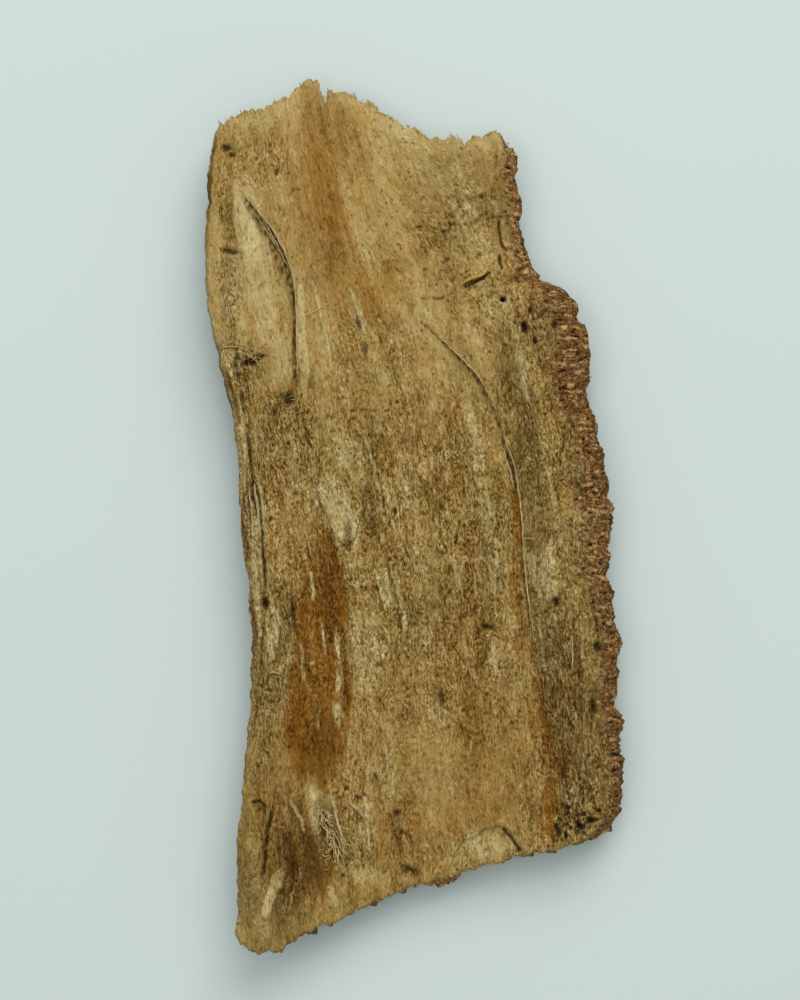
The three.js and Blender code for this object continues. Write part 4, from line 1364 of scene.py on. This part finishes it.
def netTuft():
    parts = []
    for count, along, topX, runX, spreadY, lean, leanSpread, lengths, radii, curl, lifts in tuft["bundles"]:
        for k in range(count):
            t = dice.uniform(*along)
            x = topX + runX * t + dice.normal(0, 0.3 + 0.6 * math.sin(math.pi * t))
            y = tuft["topY"] + tuft["runY"] * t + dice.normal(0, spreadY)
            angle = math.radians(lean + dice.normal(0, leanSpread))
            length, radius = dice.uniform(*lengths), dice.uniform(*radii)
            parts.append(hair(x, y, angle, length, radius, dice.normal(0, curl), dice.uniform(*lifts)))
    for count, middleX, spreadX, middleY, spreadY, leans, lengths, radius, curl, lift in tuft["frizz"]:
        for k in range(count):
            x = middleX + dice.normal(0, spreadX)
            y = middleY + dice.normal(0, spreadY)
            angle, length = math.radians(dice.uniform(*leans)), dice.uniform(*lengths)
            parts.append(hair(x, y, angle, length, radius, dice.normal(0, curl), lift))
    return parts


joined("split_fibre_tuft", netTuft(), tuftLook)
print("strands and fibres made")


# Floor, lights and camera
stageSet = {
    "floorHalf": 1.6,
    "aim": (-0.0028, 0.0032, 0.010),
    "distance": 0.60,
    "tilt": 1.5,  # degrees
    "lens": 108.0,
    "lamps": [
        # name, place, size, power, colour
        ("window_key", (0.20, 0.74, 0.86), 0.9, 5.7, (1.0, 0.99, 0.97)),
        ("ceiling_fill", (-0.25, 0.1, 1.3), 1.4, 5.0, (0.95, 1.0, 1.0)),
    ],
    "skyTint": (0.86, 0.95, 0.96, 1),
    "skyPower": 0.34,
}


def makeFloor():
    half = stageSet["floorHalf"]
    z = slabLow[2]
    mesh = bpy.data.meshes.new("floorSheet")
    mesh.from_pydata([(-half, -half, z), (half, -half, z), (half, half, z), (-half, half, z)], [],
                     [(0, 1, 2, 3)])
    b = Bench("pale_paper")
    place = b.add("ShaderNodeTexCoord").outputs["Object"]
    soft = b.noise(place, scale=3.0, detail=2.0)
    colour = b.ramp(soft, [(0.3, tint(226, 236, 233)), (0.7, tint(230, 240, 237))])
    mesh.materials.append(b.finish(colour, 0.75, b.bump(b.noise(place, scale=900.0), 0.05, 0.0002), 0.2))
    floor = bpy.data.objects.new("floor_sheet", mesh)
    bpy.context.scene.collection.objects.link(floor)


def areaLight(name, place, size, power, colour):
    lamp = bpy.data.lights.new(name, "AREA")
    lamp.shape = "DISK"
    lamp.size = size
    lamp.energy = power
    lamp.color = colour
    holder = bpy.data.objects.new(name, lamp)
    holder.location = place
    holder.rotation_euler = (Vector(stageSet["aim"]) - Vector(place)).to_track_quat("-Z", "Y").to_euler()
    bpy.context.scene.collection.objects.link(holder)


def makeLights():
    for lamp in stageSet["lamps"]:
        areaLight(*lamp)
    world = bpy.data.worlds.new("studio")
    world.use_nodes = True
    sky = world.node_tree.nodes["Background"]
    sky.inputs[0].default_value = stageSet["skyTint"]
    sky.inputs[1].default_value = stageSet["skyPower"]
    bpy.context.scene.world = world
    bpy.context.scene.view_settings.view_transform = "Standard"


def makeCamera():
    camera = bpy.data.cameras.new("bench_camera")
    camera.lens = stageSet["lens"]
    holder = bpy.data.objects.new("bench_camera", camera)
    aim = Vector(stageSet["aim"])
    tilt = math.radians(stageSet["tilt"])
    holder.location = aim + Vector((0, -math.sin(tilt), math.cos(tilt))) * stageSet["distance"]
    holder.rotation_euler = (tilt, 0, 0)
    bpy.context.scene.collection.objects.link(holder)
    bpy.context.scene.camera = holder


makeFloor()
makeLights()
makeCamera()
print("stage, lights and camera made")
